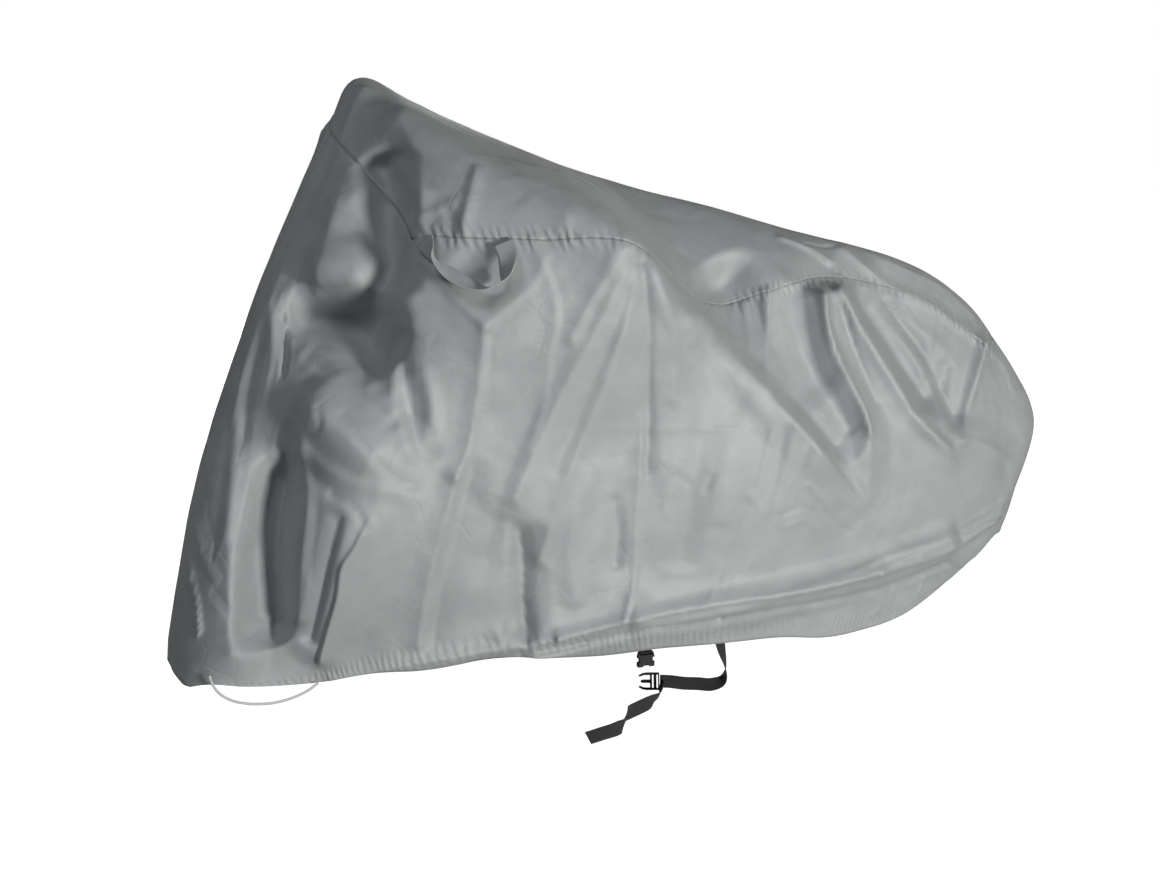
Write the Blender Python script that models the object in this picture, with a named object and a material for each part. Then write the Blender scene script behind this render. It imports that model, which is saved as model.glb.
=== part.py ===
"""Fitted bicycle cover, as it hangs over a bicycle that is left out.

Metres, +Z up.  The tables below are in ground coordinates: X runs from the front
(-X) to the rear (+X), the near side faces -Y, and the ground is Z = 0.  Every part
is a child of one empty that puts the world origin at HOLD_POINT, the place under
the top where the handlebar carries the cover.
"""

from collections import namedtuple
from math import cos, radians, sin

import bmesh
import bpy
import numpy as np
from mathutils import Matrix, Vector

# ---------------------------------------------------------------- driving sizes

HOLD_POINT = (-0.10, -0.04, 0.98)   # underside of the top, over the handlebar
CLOTH = 0.002                       # thickness of the coated cloth
SEAM_GAP = 0.0004                   # each panel stops this far short of its seam

SEAM_AT = 0.30                      # where the seam and the waist lie, from crown 0
WAIST_AT = 0.62                     # to hem 1
CAP_FRONT = 6                       # row of the tables at the cap's front edge
CAP_REAR = 15                       # and at its rear edge

CELLS_NOSE = 20                     # cells of the faceted cloth, front to rear
CELLS_CAP = 26
CELLS_TAIL = 8
CELLS_HALF_CAP = 6                  # and from the crown down to the seam,
CELLS_SKIRT = 13                    # then down to the hem

# ------------------------------------------------------------- section tables
# One row per section, from the hem under the nose to the hem under the tail.
# Each point is x, y, z.

NearSection = namedtuple("NearSection", "name crown seam waist hem")
FarSection = namedtuple("FarSection", "name seam_y seam_z waist_y hem_y")

NEAR = [NearSection(*row) for row in (
    ("nose hem", (-0.740, -0.07, 0.13), (-0.740, -0.11, 0.13), (-0.73, -0.14, 0.12), (-0.72, -0.16, 0.12)),
    ("nose", (-0.740, -0.07, 0.18), (-0.730, -0.11, 0.17), (-0.71, -0.15, 0.15), (-0.68, -0.19, 0.13)),
    ("shin", (-0.715, -0.05, 0.29), (-0.690, -0.12, 0.26), (-0.64, -0.17, 0.20), (-0.61, -0.20, 0.12)),
    ("front low", (-0.650, 0.00, 0.51), (-0.610, -0.11, 0.46), (-0.55, -0.21, 0.28), (-0.50, -0.19, 0.11)),
    ("front mid", (-0.530, 0.09, 0.76), (-0.500, -0.05, 0.71), (-0.48, -0.26, 0.43), (-0.40, -0.20, 0.12)),
    ("front high", (-0.440, 0.15, 0.93), (-0.390, -0.04, 0.83), (-0.40, -0.27, 0.53), (-0.30, -0.22, 0.12)),
    ("cap front", (-0.360, 0.19, 1.06), (-0.290, -0.13, 0.89), (-0.30, -0.28, 0.56), (-0.19, -0.23, 0.13)),
    ("far peak", (-0.290, 0.22, 1.14), (-0.210, -0.23, 0.90), (-0.20, -0.29, 0.55), (-0.07, -0.23, 0.12)),
    ("handlebar", (-0.130, 0.18, 1.08), (-0.100, -0.29, 0.90), (-0.07, -0.30, 0.54), (0.04, -0.23, 0.11)),
    ("near grip", (0.060, 0.17, 1.00), (0.050, -0.33, 0.89), (0.08, -0.30, 0.53), (0.15, -0.23, 0.11)),
    ("recess", (0.240, 0.14, 0.94), (0.255, -0.18, 0.76), (0.23, -0.29, 0.51), (0.27, -0.22, 0.10)),
    ("frame", (0.390, 0.08, 0.90), (0.395, -0.16, 0.77), (0.38, -0.28, 0.50), (0.41, -0.20, 0.09)),
    ("saddle", (0.560, 0.00, 0.85), (0.550, -0.10, 0.78), (0.55, -0.24, 0.47), (0.53, -0.18, 0.07)),
    ("tail high", (0.770, 0.00, 0.79), (0.730, -0.09, 0.74), (0.71, -0.20, 0.46), (0.63, -0.16, 0.07)),
    ("tail mid", (0.890, 0.00, 0.72), (0.850, -0.08, 0.67), (0.83, -0.17, 0.43), (0.70, -0.15, 0.08)),
    ("cap rear", (0.980, 0.00, 0.63), (0.940, -0.07, 0.59), (0.92, -0.14, 0.37), (0.76, -0.14, 0.10)),
    ("rear", (1.090, -0.01, 0.45), (1.040, -0.07, 0.43), (0.95, -0.12, 0.28), (0.83, -0.12, 0.13)),
    ("rear low", (1.040, -0.03, 0.29), (1.000, -0.08, 0.28), (0.94, -0.11, 0.22), (0.88, -0.11, 0.16)),
    ("rear hem", (1.000, -0.05, 0.21), (0.970, -0.08, 0.21), (0.94, -0.10, 0.20), (0.91, -0.11, 0.18)),
)]
FAR = [FarSection(*row) for row in (
    ("nose hem", -0.03, 0.13, 0.00, 0.02),
    ("nose", -0.01, 0.18, 0.03, 0.05),
    ("shin", 0.04, 0.27, 0.09, 0.07),
    ("front low", 0.12, 0.47, 0.18, 0.11),
    ("front mid", 0.22, 0.73, 0.24, 0.15),
    ("front high", 0.26, 0.91, 0.26, 0.18),
    ("cap front", 0.28, 1.04, 0.28, 0.20),
    ("far peak", 0.31, 1.08, 0.29, 0.21),
    ("handlebar", 0.28, 0.96, 0.29, 0.21),
    ("near grip", 0.24, 0.85, 0.27, 0.20),
    ("recess", 0.19, 0.81, 0.25, 0.19),
    ("frame", 0.15, 0.80, 0.23, 0.18),
    ("saddle", 0.10, 0.78, 0.21, 0.16),
    ("tail high", 0.09, 0.74, 0.18, 0.15),
    ("tail mid", 0.08, 0.67, 0.15, 0.13),
    ("cap rear", 0.07, 0.59, 0.12, 0.12),
    ("rear", 0.05, 0.43, 0.10, 0.10),
    ("rear low", 0.02, 0.28, 0.06, 0.07),
    ("rear hem", -0.02, 0.21, 0.01, 0.02),
)]
LAST = len(NEAR) - 1

# ---------------------------------------------------------------- fold tables
# A fold is drawn in the plane square to a quarter view of its side: `path` gives
# its points as (across, up) in metres, `width` its half width, `height` how far it
# stands out (below zero it is a trough), `start` and `end` the share of that
# height at the path's two ends.

Fold = namedtuple("Fold", "name path width height start end")
Quarter = namedtuple("Quarter", "azimuth elevation")

NEAR_QUARTER = Quarter(azimuth=-20, elevation=13)
FAR_QUARTER = Quarter(azimuth=180, elevation=0)

NEAR_FOLDS = [Fold(*row) for row in (
    ("bar ridge", ((-0.25, 1.07), (-0.12, 0.98), (0.02, 0.89), (0.14, 0.81)), 0.08, 0.024, 0.8, 0.6),
    ("grip ridge", ((0.15, 0.80), (0.22, 0.75), (0.29, 0.69)), 0.08, 0.034, 0.2, 1.0),
    ("grip ridge fall", ((0.29, 0.69), (0.42, 0.55), (0.54, 0.43)), 0.08, 0.034, 1.0, 0.3),
    ("recess", ((0.34, 0.75), (0.41, 0.67), (0.49, 0.57)), 0.11, -0.075, 1.0, 0.4),
    ("front valley", ((-0.28, 0.96), (-0.27, 0.86), (-0.26, 0.74)), 0.07, -0.050, 1.0, 0.6),
    ("chest lobe", ((-0.40, 0.84), (-0.33, 0.77)), 0.10, 0.025, 1.0, 1.0),
    ("big dark fold", ((-0.42, 0.70), (-0.35, 0.68), (-0.28, 0.62)), 0.08, -0.055, 1.0, 0.9),
    ("sag pillow", ((-0.39, 0.51), (-0.26, 0.43)), 0.10, 0.032, 1.0, 0.7),
    ("grip fan", ((0.14, 0.74), (0.10, 0.68), (0.03, 0.52), (-0.05, 0.36)), 0.09, 0.018, 0.4, 1.0),
    ("side hollow", ((0.20, 0.58), (0.16, 0.40), (0.16, 0.24)), 0.10, -0.012, 0.6, 1.0),
    ("lower fold", ((-0.03, 0.29), (-0.04, 0.13)), 0.06, -0.020, 0.8, 1.0),
    ("shin trough", ((-0.45, 0.41), (-0.47, 0.29), (-0.47, 0.14)), 0.07, -0.030, 0.7, 1.0),
    ("shin ridge", ((-0.30, 0.34), (-0.35, 0.21), (-0.39, 0.09)), 0.07, 0.018, 0.6, 1.0),
    ("tuck front", ((-0.38, 0.04), (-0.20, 0.07), (0.03, 0.11), (0.18, 0.14)), 0.06, 0.015, 0.3, 1.0),
    ("tuck rear", ((0.18, 0.14), (0.30, 0.15), (0.50, 0.17), (0.67, 0.20), (0.82, 0.24)), 0.06, 0.018, 1.0, 0.5),
    ("rear ridge", ((0.54, 0.74), (0.57, 0.60), (0.63, 0.44)), 0.06, 0.022, 1.0, 0.3),
    ("rear fan ridge", ((0.58, 0.74), (0.69, 0.56), (0.81, 0.45)), 0.06, 0.022, 1.0, 0.4),
    ("rear valley", ((0.65, 0.72), (0.75, 0.55)), 0.07, -0.045, 0.8, 0.8),
)]
FAR_FOLDS = [Fold(*row) for row in (
    ("far grip ridge", ((0.29, 1.06), (0.12, 0.78), (-0.12, 0.48)), 0.10, 0.035, 1.0, 0.2),
    ("far front ridge", ((0.31, 1.03), (0.42, 0.68), (0.50, 0.32)), 0.08, 0.022, 1.0, 0.5),
    ("far recess", ((-0.16, 0.80), (-0.34, 0.58)), 0.11, -0.030, 1.0, 0.4),
    ("far hollow", ((0.17, 0.62), (0.14, 0.30)), 0.10, -0.028, 0.6, 1.0),
    ("far rear ridge", ((-0.56, 0.78), (-0.66, 0.46)), 0.07, 0.022, 1.0, 0.3),
    ("far fan ridge", ((-0.62, 0.76), (-0.86, 0.42)), 0.07, 0.022, 1.0, 0.4),
    ("far tuck", ((0.52, 0.20), (0.10, 0.21), (-0.40, 0.20), (-0.78, 0.22)), 0.06, 0.016, 0.6, 0.8),
)]


# ------------------------------------------------------------------- geometry


def spline(knots, values, at):
    """Smooth curve through values (k, ...) at the given knots (k), read at `at`."""
    knots = np.asarray(knots, float)
    values = np.asarray(values, float)
    column = (slice(None),) + (None,) * (values.ndim - 1)
    spans = np.diff(knots)
    slopes = np.diff(values, axis=0) / spans[column]
    tangents = np.empty_like(values)
    tangents[0] = slopes[0]
    tangents[-1] = slopes[-1]
    share = (spans[1:] / (spans[:-1] + spans[1:]))[column]
    tangents[1:-1] = slopes[:-1] * share + slopes[1:] * (1 - share)
    at = np.clip(np.asarray(at, float), knots[0], knots[-1])
    span = np.clip(np.searchsorted(knots, at, side="right") - 1, 0, len(spans) - 1)
    width = spans[span]
    u = ((at - knots[span]) / width)
    shape = u.shape + (1,) * (values.ndim - 1)
    u = u.reshape(shape)
    width = width.reshape(shape)
    return (values[span] * (1 + 2 * u) * (1 - u) ** 2
            + tangents[span] * width * u * (1 - u) ** 2
            + values[span + 1] * u * u * (3 - 2 * u)
            - tangents[span + 1] * width * u * u * (1 - u))


def section_points():
    """Seven points of every section, from the near hem over the crown to the far hem."""
    rows = []
    for near, far in zip(NEAR, FAR):
        far_seam = (near.seam[0], far.seam_y, far.seam_z)
        far_waist = (near.waist[0], far.waist_y, near.waist[2])
        far_hem = (near.hem[0], far.hem_y, near.hem[2])
        rows.append((near.hem, near.waist, near.seam, near.crown, far_seam, far_waist, far_hem))
    return np.array(rows)


SECTIONS = section_points()
ALONG_KNOTS = range(LAST + 1)
ACROSS_KNOTS = (-1.0, -WAIST_AT, -SEAM_AT, 0.0, SEAM_AT, WAIST_AT, 1.0)


def smooth_cloth(along, across):
    """Points of the cloth without folds: along 0..LAST, across -1 near hem..1 far hem."""
    of_rows = spline(ALONG_KNOTS, np.eye(len(ALONG_KNOTS)), along)
    of_points = spline(ACROSS_KNOTS, np.eye(len(ACROSS_KNOTS)), across)
    return np.einsum("...i,...j,ijk->...k", of_rows, of_points, SECTIONS)


def cloth_slopes(along, across):
    """How the smooth cloth runs along and across, in metres per unit."""
    step = 1e-4
    run = smooth_cloth(along + step, across) - smooth_cloth(along - step, across)
    over = smooth_cloth(along, across + step) - smooth_cloth(along, across - step)
    return run / (2 * step), over / (2 * step)


def cloth_normals(along, across):
    """Outward unit normals of the smooth cloth."""
    inset = 2e-4
    run, over = cloth_slopes(np.clip(along, inset, LAST - inset), np.clip(across, inset - 1, 1 - inset))
    normals = np.cross(run, over)
    return normals / np.linalg.norm(normals, axis=-1, keepdims=True)


def quarter_axes(quarter):
    """Level axis, upward axis and direction to the viewer of a quarter view."""
    a, e = radians(quarter.azimuth), radians(quarter.elevation)
    level = np.array((cos(a), sin(a), 0.0))
    toward = np.array((sin(a) * cos(e), -cos(a) * cos(e), sin(e)))
    return level, np.cross(toward, level), toward


def path_distance(flat, path):
    """Distance of flat points (..., 2) from a path, and the share of it passed."""
    path = np.asarray(path, float)
    lengths = np.linalg.norm(np.diff(path, axis=0), axis=1)
    passed = np.concatenate(([0.0], np.cumsum(lengths)))
    best = np.full(flat.shape[:-1], np.inf)
    share = np.zeros(flat.shape[:-1])
    for start, end, length, before in zip(path[:-1], path[1:], lengths, passed):
        run = (end - start) / length
        along = np.clip((flat - start) @ run, 0.0, length)
        distance = np.linalg.norm(flat - (start + along[..., None] * run), axis=-1)
        nearer = distance < best
        best = np.where(nearer, distance, best)
        share = np.where(nearer, (before + along) / passed[-1], share)
    return best, share


def fold_heights(points, normals, folds, quarter):
    """How far the folds of one side lift each point along its normal."""
    level, upward, toward = quarter_axes(quarter)
    flat = np.stack((points @ level, points @ upward), axis=-1)
    facing = np.clip((normals @ toward) / 0.35, 0.0, 1.0)
    heights = np.zeros(points.shape[:-1])
    for fold in folds:
        distance, share = path_distance(flat, fold.path)
        profile = np.clip(1 - (distance / fold.width) ** 2, 0.0, 1.0) ** 2
        strength = fold.start + (fold.end - fold.start) * share
        heights += fold.height * strength * profile
    return heights * facing


def cloth(along, across):
    """Points of the cloth with its main folds, and their outward normals."""
    along = np.asarray(along, float)
    across = np.asarray(across, float)
    points = smooth_cloth(along, across)
    normals = cloth_normals(along, across)
    near = fold_heights(points, normals, NEAR_FOLDS, NEAR_QUARTER)
    far = fold_heights(points, normals, FAR_FOLDS, FAR_QUARTER)
    return points + normals * (near + far)[..., None], normals


# ------------------------------------------------------------ straps and cord
# Sizes of what is sewn to the cloth.

LOOP_WIDTH = 0.035
LOOP_CLOTH = 0.002
WEBBING_WIDTH = 0.025
WEBBING = 0.0014
CORD_RADIUS = 0.0025
STRIP_CELLS = 2                     # faceted cells across a strip's width
LOOP_STEPS = 33                     # and points along each loop

BUCKLE_WIDTH = 0.034
BUCKLE_EDGE = 0.0010                # rounding of its moulded edges
SOCKET_LENGTH = 0.030
SOCKET_DEPTH = 0.009
MOUTH_WIDTH = 0.027
MOUTH_HEIGHT = 0.0052
MOUTH_LENGTH = 0.021
PLUG_DEPTH = 0.006
PLUG_BACK = 0.021                   # from the plug's middle to its webbing end
SLOT_WIDTH = 0.0262                 # the webbing slots of both halves
SLOT_HEIGHT = 0.0032

# A loop hangs from its seam: `share` of the way between its two ends, `drop` down
# the cloth from the seam and `stand` away from it; then the way its width points, as parts
# along the seam, out of the cloth and up.
LoopPoint = namedtuple("LoopPoint", "share drop stand along out up")
LoopEnds = namedtuple("LoopEnds", "side start end sag reach")

LOOP_POINTS = [LoopPoint(*row) for row in (
    (0.00, 0.012, 0.008, 1.0, 0.0, 0.0),
    (0.06, 0.036, 0.013, 0.9, 0.4, -0.1),
    (0.18, 0.062, 0.022, 0.5, 0.7, -0.4),
    (0.36, 0.085, 0.028, 0.2, 0.8, -0.6),
    (0.56, 0.102, 0.032, 0.1, 0.9, -0.5),
    (0.76, 0.106, 0.034, 0.3, 0.9, -0.1),
    (0.92, 0.090, 0.032, 0.6, 0.7, 0.3),
    (1.00, 0.060, 0.025, 0.9, 0.4, 0.1),
    (1.02, 0.034, 0.015, 1.0, 0.1, 0.0),
    (1.00, 0.012, 0.008, 1.0, 0.0, 0.0),
)]
NEAR_LOOP = LoopEnds(side=-1, start=6.25, end=7.45, sag=1.0, reach=1.0)
FAR_LOOP = LoopEnds(side=1, start=6.15, end=5.15, sag=0.6, reach=1.5)

# Webbing routes: x, y, z of the middle, then the way its width points.
WebbingPoint = namedtuple("WebbingPoint", "x y z width_x width_y width_z")

TAB = [WebbingPoint(*row) for row in (
    (0.125, -0.2215, 0.136, 1.0, 0.1, 0.0),
    (0.125, -0.2215, 0.120, 1.0, 0.1, 0.0),
    (0.125, -0.2215, 0.1045, 1.0, 0.1, 0.0),
)]
STRAP = [WebbingPoint(*row) for row in (
    (0.284, -0.209, 0.126, 1.00, 0.25, 0.00),
    (0.284, -0.209, 0.104, 1.00, 0.35, 0.00),
    (0.288, -0.211, 0.082, 0.90, 0.60, 0.00),
    (0.293, -0.214, 0.060, 0.60, 0.85, 0.05),
    (0.294, -0.217, 0.040, 0.30, 0.90, 0.20),
    (0.287, -0.216, 0.023, 0.05, 0.85, 0.45),
    (0.270, -0.208, 0.0145, -0.05, 0.60, 0.80),
    (0.246, -0.193, 0.0135, 0.00, 0.35, 0.94),
    (0.220, -0.180, 0.0133, 0.00, 0.25, 0.97),
    (0.198, -0.1704, 0.0160, 0.14, 0.42, 0.90),
    (0.1790, -0.1636, 0.0168, 0.17, 0.47, 0.87),
)]
TAIL = [WebbingPoint(*row) for row in (
    (0.1742, -0.1790, 0.0210, 0.17, 0.47, 0.87),
    (0.1715, -0.1900, 0.0155, 0.35, 0.25, 0.90),
    (0.1630, -0.2070, 0.0130, 0.45, 0.10, 0.89),
    (0.148, -0.228, 0.0125, 0.50, -0.20, 0.84),
    (0.122, -0.251, 0.0125, 0.35, 0.40, 0.85),
    (0.092, -0.269, 0.0120, 0.20, 0.60, 0.78),
    (0.066, -0.287, 0.0125, 0.30, 0.45, 0.84),
    (0.048, -0.311, 0.0128, 0.45, -0.10, 0.89),
    (0.036, -0.338, 0.0126, 0.40, 0.10, 0.90),
    (0.014, -0.353, 0.0120, 0.10, 0.60, 0.79),
    (-0.016, -0.362, 0.0110, 0.05, 0.70, 0.71),
    (-0.046, -0.371, 0.0100, 0.05, 0.75, 0.66),
)]
CORD = (
    (-0.6900, -0.1995, 0.150),
    (-0.6860, -0.2040, 0.136),
    (-0.6760, -0.2080, 0.120),
    (-0.6580, -0.2110, 0.106),
    (-0.6340, -0.2130, 0.097),
    (-0.6050, -0.2140, 0.092),
    (-0.5750, -0.2130, 0.091),
    (-0.5450, -0.2100, 0.095),
    (-0.5180, -0.2060, 0.103),
    (-0.4980, -0.2010, 0.113),
)
PLUG_AT = (0.1580, -0.1560, 0.0168)        # middle of the plug, on the ground
PLUG_RUN = (-0.94, 0.34, 0.0)              # from its webbing bar to its prongs
PLUG_WIDTH_WAY = (0.17, 0.47, 0.866)       # the way its width points
SOCKET_AT = (0.125, -0.2215, 0.0890)       # middle of the socket, mouth down


# ------------------------------------------------------------------ materials

Finish = namedtuple("Finish", "colour roughness metallic")

FINISHES = {
    "coated cloth": Finish((0.33, 0.35, 0.36), 0.42, 0.25),
    "black webbing": Finish((0.010, 0.010, 0.011), 0.70, 0.0),
    "black plastic": Finish((0.013, 0.013, 0.014), 0.38, 0.0),
    "elastic cord": Finish((0.50, 0.51, 0.51), 0.60, 0.0),
}


def material(finish):
    """The named finish as a Principled material, made once."""
    made = bpy.data.materials.get(finish)
    if made is None:
        made = bpy.data.materials.new(finish)
        made.use_nodes = True
        shader = made.node_tree.nodes["Principled BSDF"]
        values = FINISHES[finish]
        shader.inputs["Base Color"].default_value = (*values.colour, 1.0)
        shader.inputs["Roughness"].default_value = values.roughness
        shader.inputs["Metallic"].default_value = values.metallic
    return made


def place(name, data, finish, frame):
    """One named object in the scene, a child of the frame empty."""
    data.materials.append(material(finish))
    made = bpy.data.objects.new(name, data)
    made.parent = frame
    bpy.context.scene.collection.objects.link(made)
    return made


# --------------------------------------------------------------------- panels


def walled(name, sheet, inner):
    """A closed mesh of a sheet and its other wall, whose points `inner` gives for each of its own."""
    bmesh.ops.triangulate(sheet, faces=sheet.faces)
    doubled = bmesh.ops.extrude_face_region(sheet, geom=sheet.faces[:], use_keep_orig=True)["geom"]
    for item in doubled:
        if isinstance(item, bmesh.types.BMVert):
            item.co = inner[item.co.to_tuple()]
    bmesh.ops.recalc_face_normals(sheet, faces=sheet.faces)
    mesh = bpy.data.meshes.new(name)
    sheet.to_mesh(mesh)
    sheet.free()
    mesh.shade_smooth()
    return mesh


def clear_of_seams(along, across, side):
    """Pull a panel's edge points back from the seams: side -1 near, 1 far, 0 the cap."""
    run, over = cloth_slopes(np.clip(along, 0.01, LAST - 0.01), np.clip(across, -0.99, 0.99))
    step_along = SEAM_GAP / np.linalg.norm(run, axis=-1)
    step_across = SEAM_GAP / np.linalg.norm(over, axis=-1)
    at_front = np.isclose(along, CAP_FRONT)
    at_rear = np.isclose(along, CAP_REAR)
    if side == 0:
        along = along + step_along * at_front - step_along * at_rear
        at_seam = np.isclose(abs(across), SEAM_AT)
        return along, across - np.sign(across) * step_across * at_seam
    down = abs(across)
    beside_cap = (along > CAP_FRONT - 0.01) & (along < CAP_REAR + 0.01)
    above_seam = down < SEAM_AT + 0.001
    at_edge = (np.isclose(down, SEAM_AT) & beside_cap) | (np.isclose(down, 0.0) & ~beside_cap)
    at_corner = np.isclose(down, 0.0) & (at_front | at_rear)
    along = along - step_along * (at_front & above_seam) + step_along * (at_rear & above_seam)
    return along, across + side * step_across * (at_edge | at_corner)


def even_steps(start, end, cells):
    """Steps along the cover whose cells are about equally long at crown and waist."""
    fine = np.linspace(start, end, 40 * cells + 1)
    crown = smooth_cloth(fine, np.zeros(len(fine)))
    waist = smooth_cloth(fine, np.full(len(fine), -WAIST_AT))
    moved = sum(np.linalg.norm(np.diff(line, axis=0), axis=1) for line in (crown, waist))
    passed = np.concatenate(([0.0], np.cumsum(moved)))
    return np.interp(np.linspace(0, passed[-1], cells + 1), passed, fine)


def in_cap(along, down):
    """Whether a place lies on the cap, inside its seams."""
    return CAP_FRONT < along < CAP_REAR and down < SEAM_AT


def cut_panel(name, along_steps, across_steps, side, frame):
    """A panel of the cloth over these steps, without what the cap holds."""
    grid = bmesh.new()
    columns = len(along_steps) - 1
    rows = len(across_steps) - 1
    bmesh.ops.create_grid(grid, x_segments=columns, y_segments=rows, size=0.5)
    for vert in grid.verts:
        vert.co.x = along_steps[round((vert.co.x + 0.5) * columns)]
        vert.co.y = across_steps[round((vert.co.y + 0.5) * rows)]
    if side:
        middles = [(face, face.calc_center_median()) for face in grid.faces]
        cut = [face for face, middle in middles if in_cap(middle.x, abs(middle.y))]
        bmesh.ops.delete(grid, geom=cut, context="FACES")
    along = np.array([vert.co.x for vert in grid.verts])
    across = np.array([vert.co.y for vert in grid.verts])
    points, normals = cloth(*clear_of_seams(along, across, side))
    inner = {}
    for vert, point, normal in zip(grid.verts, points, normals):
        vert.co = Vector(point)
        inner[vert.co.to_tuple()] = Vector(point - normal * CLOTH)
    return place(name, walled(name, grid, inner), "coated cloth", frame)


def make_panels(frame):
    """The cap and the two skirts that are gathered into it."""
    nose = even_steps(0, CAP_FRONT, CELLS_NOSE)
    cap = even_steps(CAP_FRONT, CAP_REAR, CELLS_CAP)
    tail = even_steps(CAP_REAR, LAST, CELLS_TAIL)
    half_cap = np.linspace(0, SEAM_AT, CELLS_HALF_CAP + 1)
    skirt = np.linspace(SEAM_AT, 1, CELLS_SKIRT + 1)
    whole_length = np.concatenate((nose, cap[1:], tail[1:]))
    down = np.concatenate((half_cap, skirt[1:]))
    cut_panel("top_panel", cap, np.concatenate((-half_cap[:0:-1], half_cap)), 0, frame)
    cut_panel("near_panel", whole_length, -down[::-1], -1, frame)
    cut_panel("far_panel", whole_length, down, 1, frame)


# ------------------------------------------------------- loops, webbing and cord


def sweep_strip(name, points, width_ways, width, thickness, finish, frame):
    """A flat strip along points, its width pointing the given ways."""
    points = np.asarray(points, float)
    ways = np.asarray(width_ways, float)
    runs = np.gradient(points, axis=0)
    runs /= np.linalg.norm(runs, axis=1, keepdims=True)
    ways = ways - (ways * runs).sum(axis=1, keepdims=True) * runs
    ways /= np.linalg.norm(ways, axis=1, keepdims=True)
    faces = np.cross(runs, ways)
    strip = bmesh.new()
    stations = len(points) - 1
    bmesh.ops.create_grid(strip, x_segments=stations, y_segments=STRIP_CELLS, size=0.5)
    inner = {}
    for vert in strip.verts:
        station = round((vert.co.x + 0.5) * stations)
        middle = points[station] + ways[station] * width * vert.co.y
        half_wall = faces[station] * thickness / 2
        vert.co = Vector(middle + half_wall)
        inner[vert.co.to_tuple()] = Vector(middle - half_wall)
    return place(name, walled(name, strip, inner), finish, frame)


def smooth_route(points, steps):
    """A smooth curve of `steps` points through a route's own points."""
    points = np.asarray(points, float)
    lengths = np.linalg.norm(np.diff(points[:, :3], axis=0), axis=1)
    passed = np.concatenate(([0.0], np.cumsum(lengths)))
    return spline(passed, points, np.linspace(0, passed[-1], steps))


def loop_route(ends):
    """Middle line and width directions of a loop that hangs from its seam."""
    rows = np.array(LOOP_POINTS)
    share, drop, stand = rows[:, 0], rows[:, 1], rows[:, 2]
    along = ends.start + (ends.end - ends.start) * share
    seam = np.full(len(rows), ends.side * SEAM_AT)
    run, down = cloth_slopes(along, seam)
    along_seam = run / np.linalg.norm(run, axis=1, keepdims=True) * np.sign(ends.end - ends.start)
    per_metre = 1 / np.linalg.norm(down, axis=1)
    points, outward = cloth(along, seam + ends.side * ends.sag * drop * per_metre)
    points = points + outward * (stand * ends.reach)[:, None]
    upward = np.array((0.0, 0.0, 1.0))
    ways = rows[:, 3:4] * along_seam + rows[:, 4:5] * outward + rows[:, 5:6] * upward
    return points, ways


def make_loops(frame):
    """The two cloth handles sewn under the seam at the handlebar's ends."""
    for name, ends in (("near_loop", NEAR_LOOP), ("far_loop", FAR_LOOP)):
        points, ways = loop_route(ends)
        route = smooth_route(np.hstack((points, ways)), LOOP_STEPS)
        sweep_strip(name, route[:, :3], route[:, 3:], LOOP_WIDTH, LOOP_CLOTH, "coated cloth", frame)


def make_webbing(frame):
    """The sewn tab, the long strap and the tail that its buckle takes up."""
    for name, rows, steps in (("strap_tab", TAB, 4), ("strap", STRAP, 33), ("strap_tail", TAIL, 33)):
        route = smooth_route(rows, steps)
        sweep_strip(name, route[:, :3], route[:, 3:], WEBBING_WIDTH, WEBBING, "black webbing", frame)


def make_cord(frame):
    """The elastic cord where it hangs free of the front hem."""
    curve = bpy.data.curves.new("hem_elastic", "CURVE")
    curve.dimensions = "3D"
    curve.bevel_depth = CORD_RADIUS
    curve.bevel_resolution = 2
    curve.use_fill_caps = True
    line = curve.splines.new("POLY")
    route = smooth_route(CORD, 24)
    line.points.add(len(route) - 1)
    for point, position in zip(line.points, route):
        point.co = (*position, 1.0)
    place("hem_elastic", curve, "elastic cord", frame)


def extruded(name, outline, depth, finish, frame):
    """A plate of this outline (x, z), `depth` thick along y, with softened edges."""
    plate = bmesh.new()
    corners = [plate.verts.new((x, -depth / 2, z)) for x, z in outline]
    face = plate.faces.new(corners)
    risen = bmesh.ops.extrude_face_region(plate, geom=[face])["geom"]
    moved = [item for item in risen if isinstance(item, bmesh.types.BMVert)]
    bmesh.ops.translate(plate, verts=moved, vec=(0, depth, 0))
    bmesh.ops.recalc_face_normals(plate, faces=plate.faces)
    mesh = bpy.data.meshes.new(name)
    plate.to_mesh(mesh)
    plate.free()
    made = place(name, mesh, finish, frame)
    soften = made.modifiers.new("softened edges", "BEVEL")
    soften.width = BUCKLE_EDGE
    soften.segments = 1
    soften.limit_method = "ANGLE"
    soften.angle_limit = radians(40)
    return made


def cut_box(made, size, middle):
    """Cut a box-shaped opening through a plate, in the plate's own frame."""
    cutter_mesh = bpy.data.meshes.new("cutter")
    box = bmesh.new()
    bmesh.ops.create_cube(box, size=1.0)
    bmesh.ops.scale(box, vec=size, verts=box.verts)
    bmesh.ops.translate(box, vec=middle, verts=box.verts)
    box.to_mesh(cutter_mesh)
    box.free()
    cutter = bpy.data.objects.new("cutter", cutter_mesh)
    cutter.parent = made
    cutter.hide_render = True
    cutter.display_type = "WIRE"
    bpy.context.scene.collection.objects.link(cutter)
    opening = made.modifiers.new("opening", "BOOLEAN")
    opening.operation = "DIFFERENCE"
    opening.object = cutter


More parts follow.
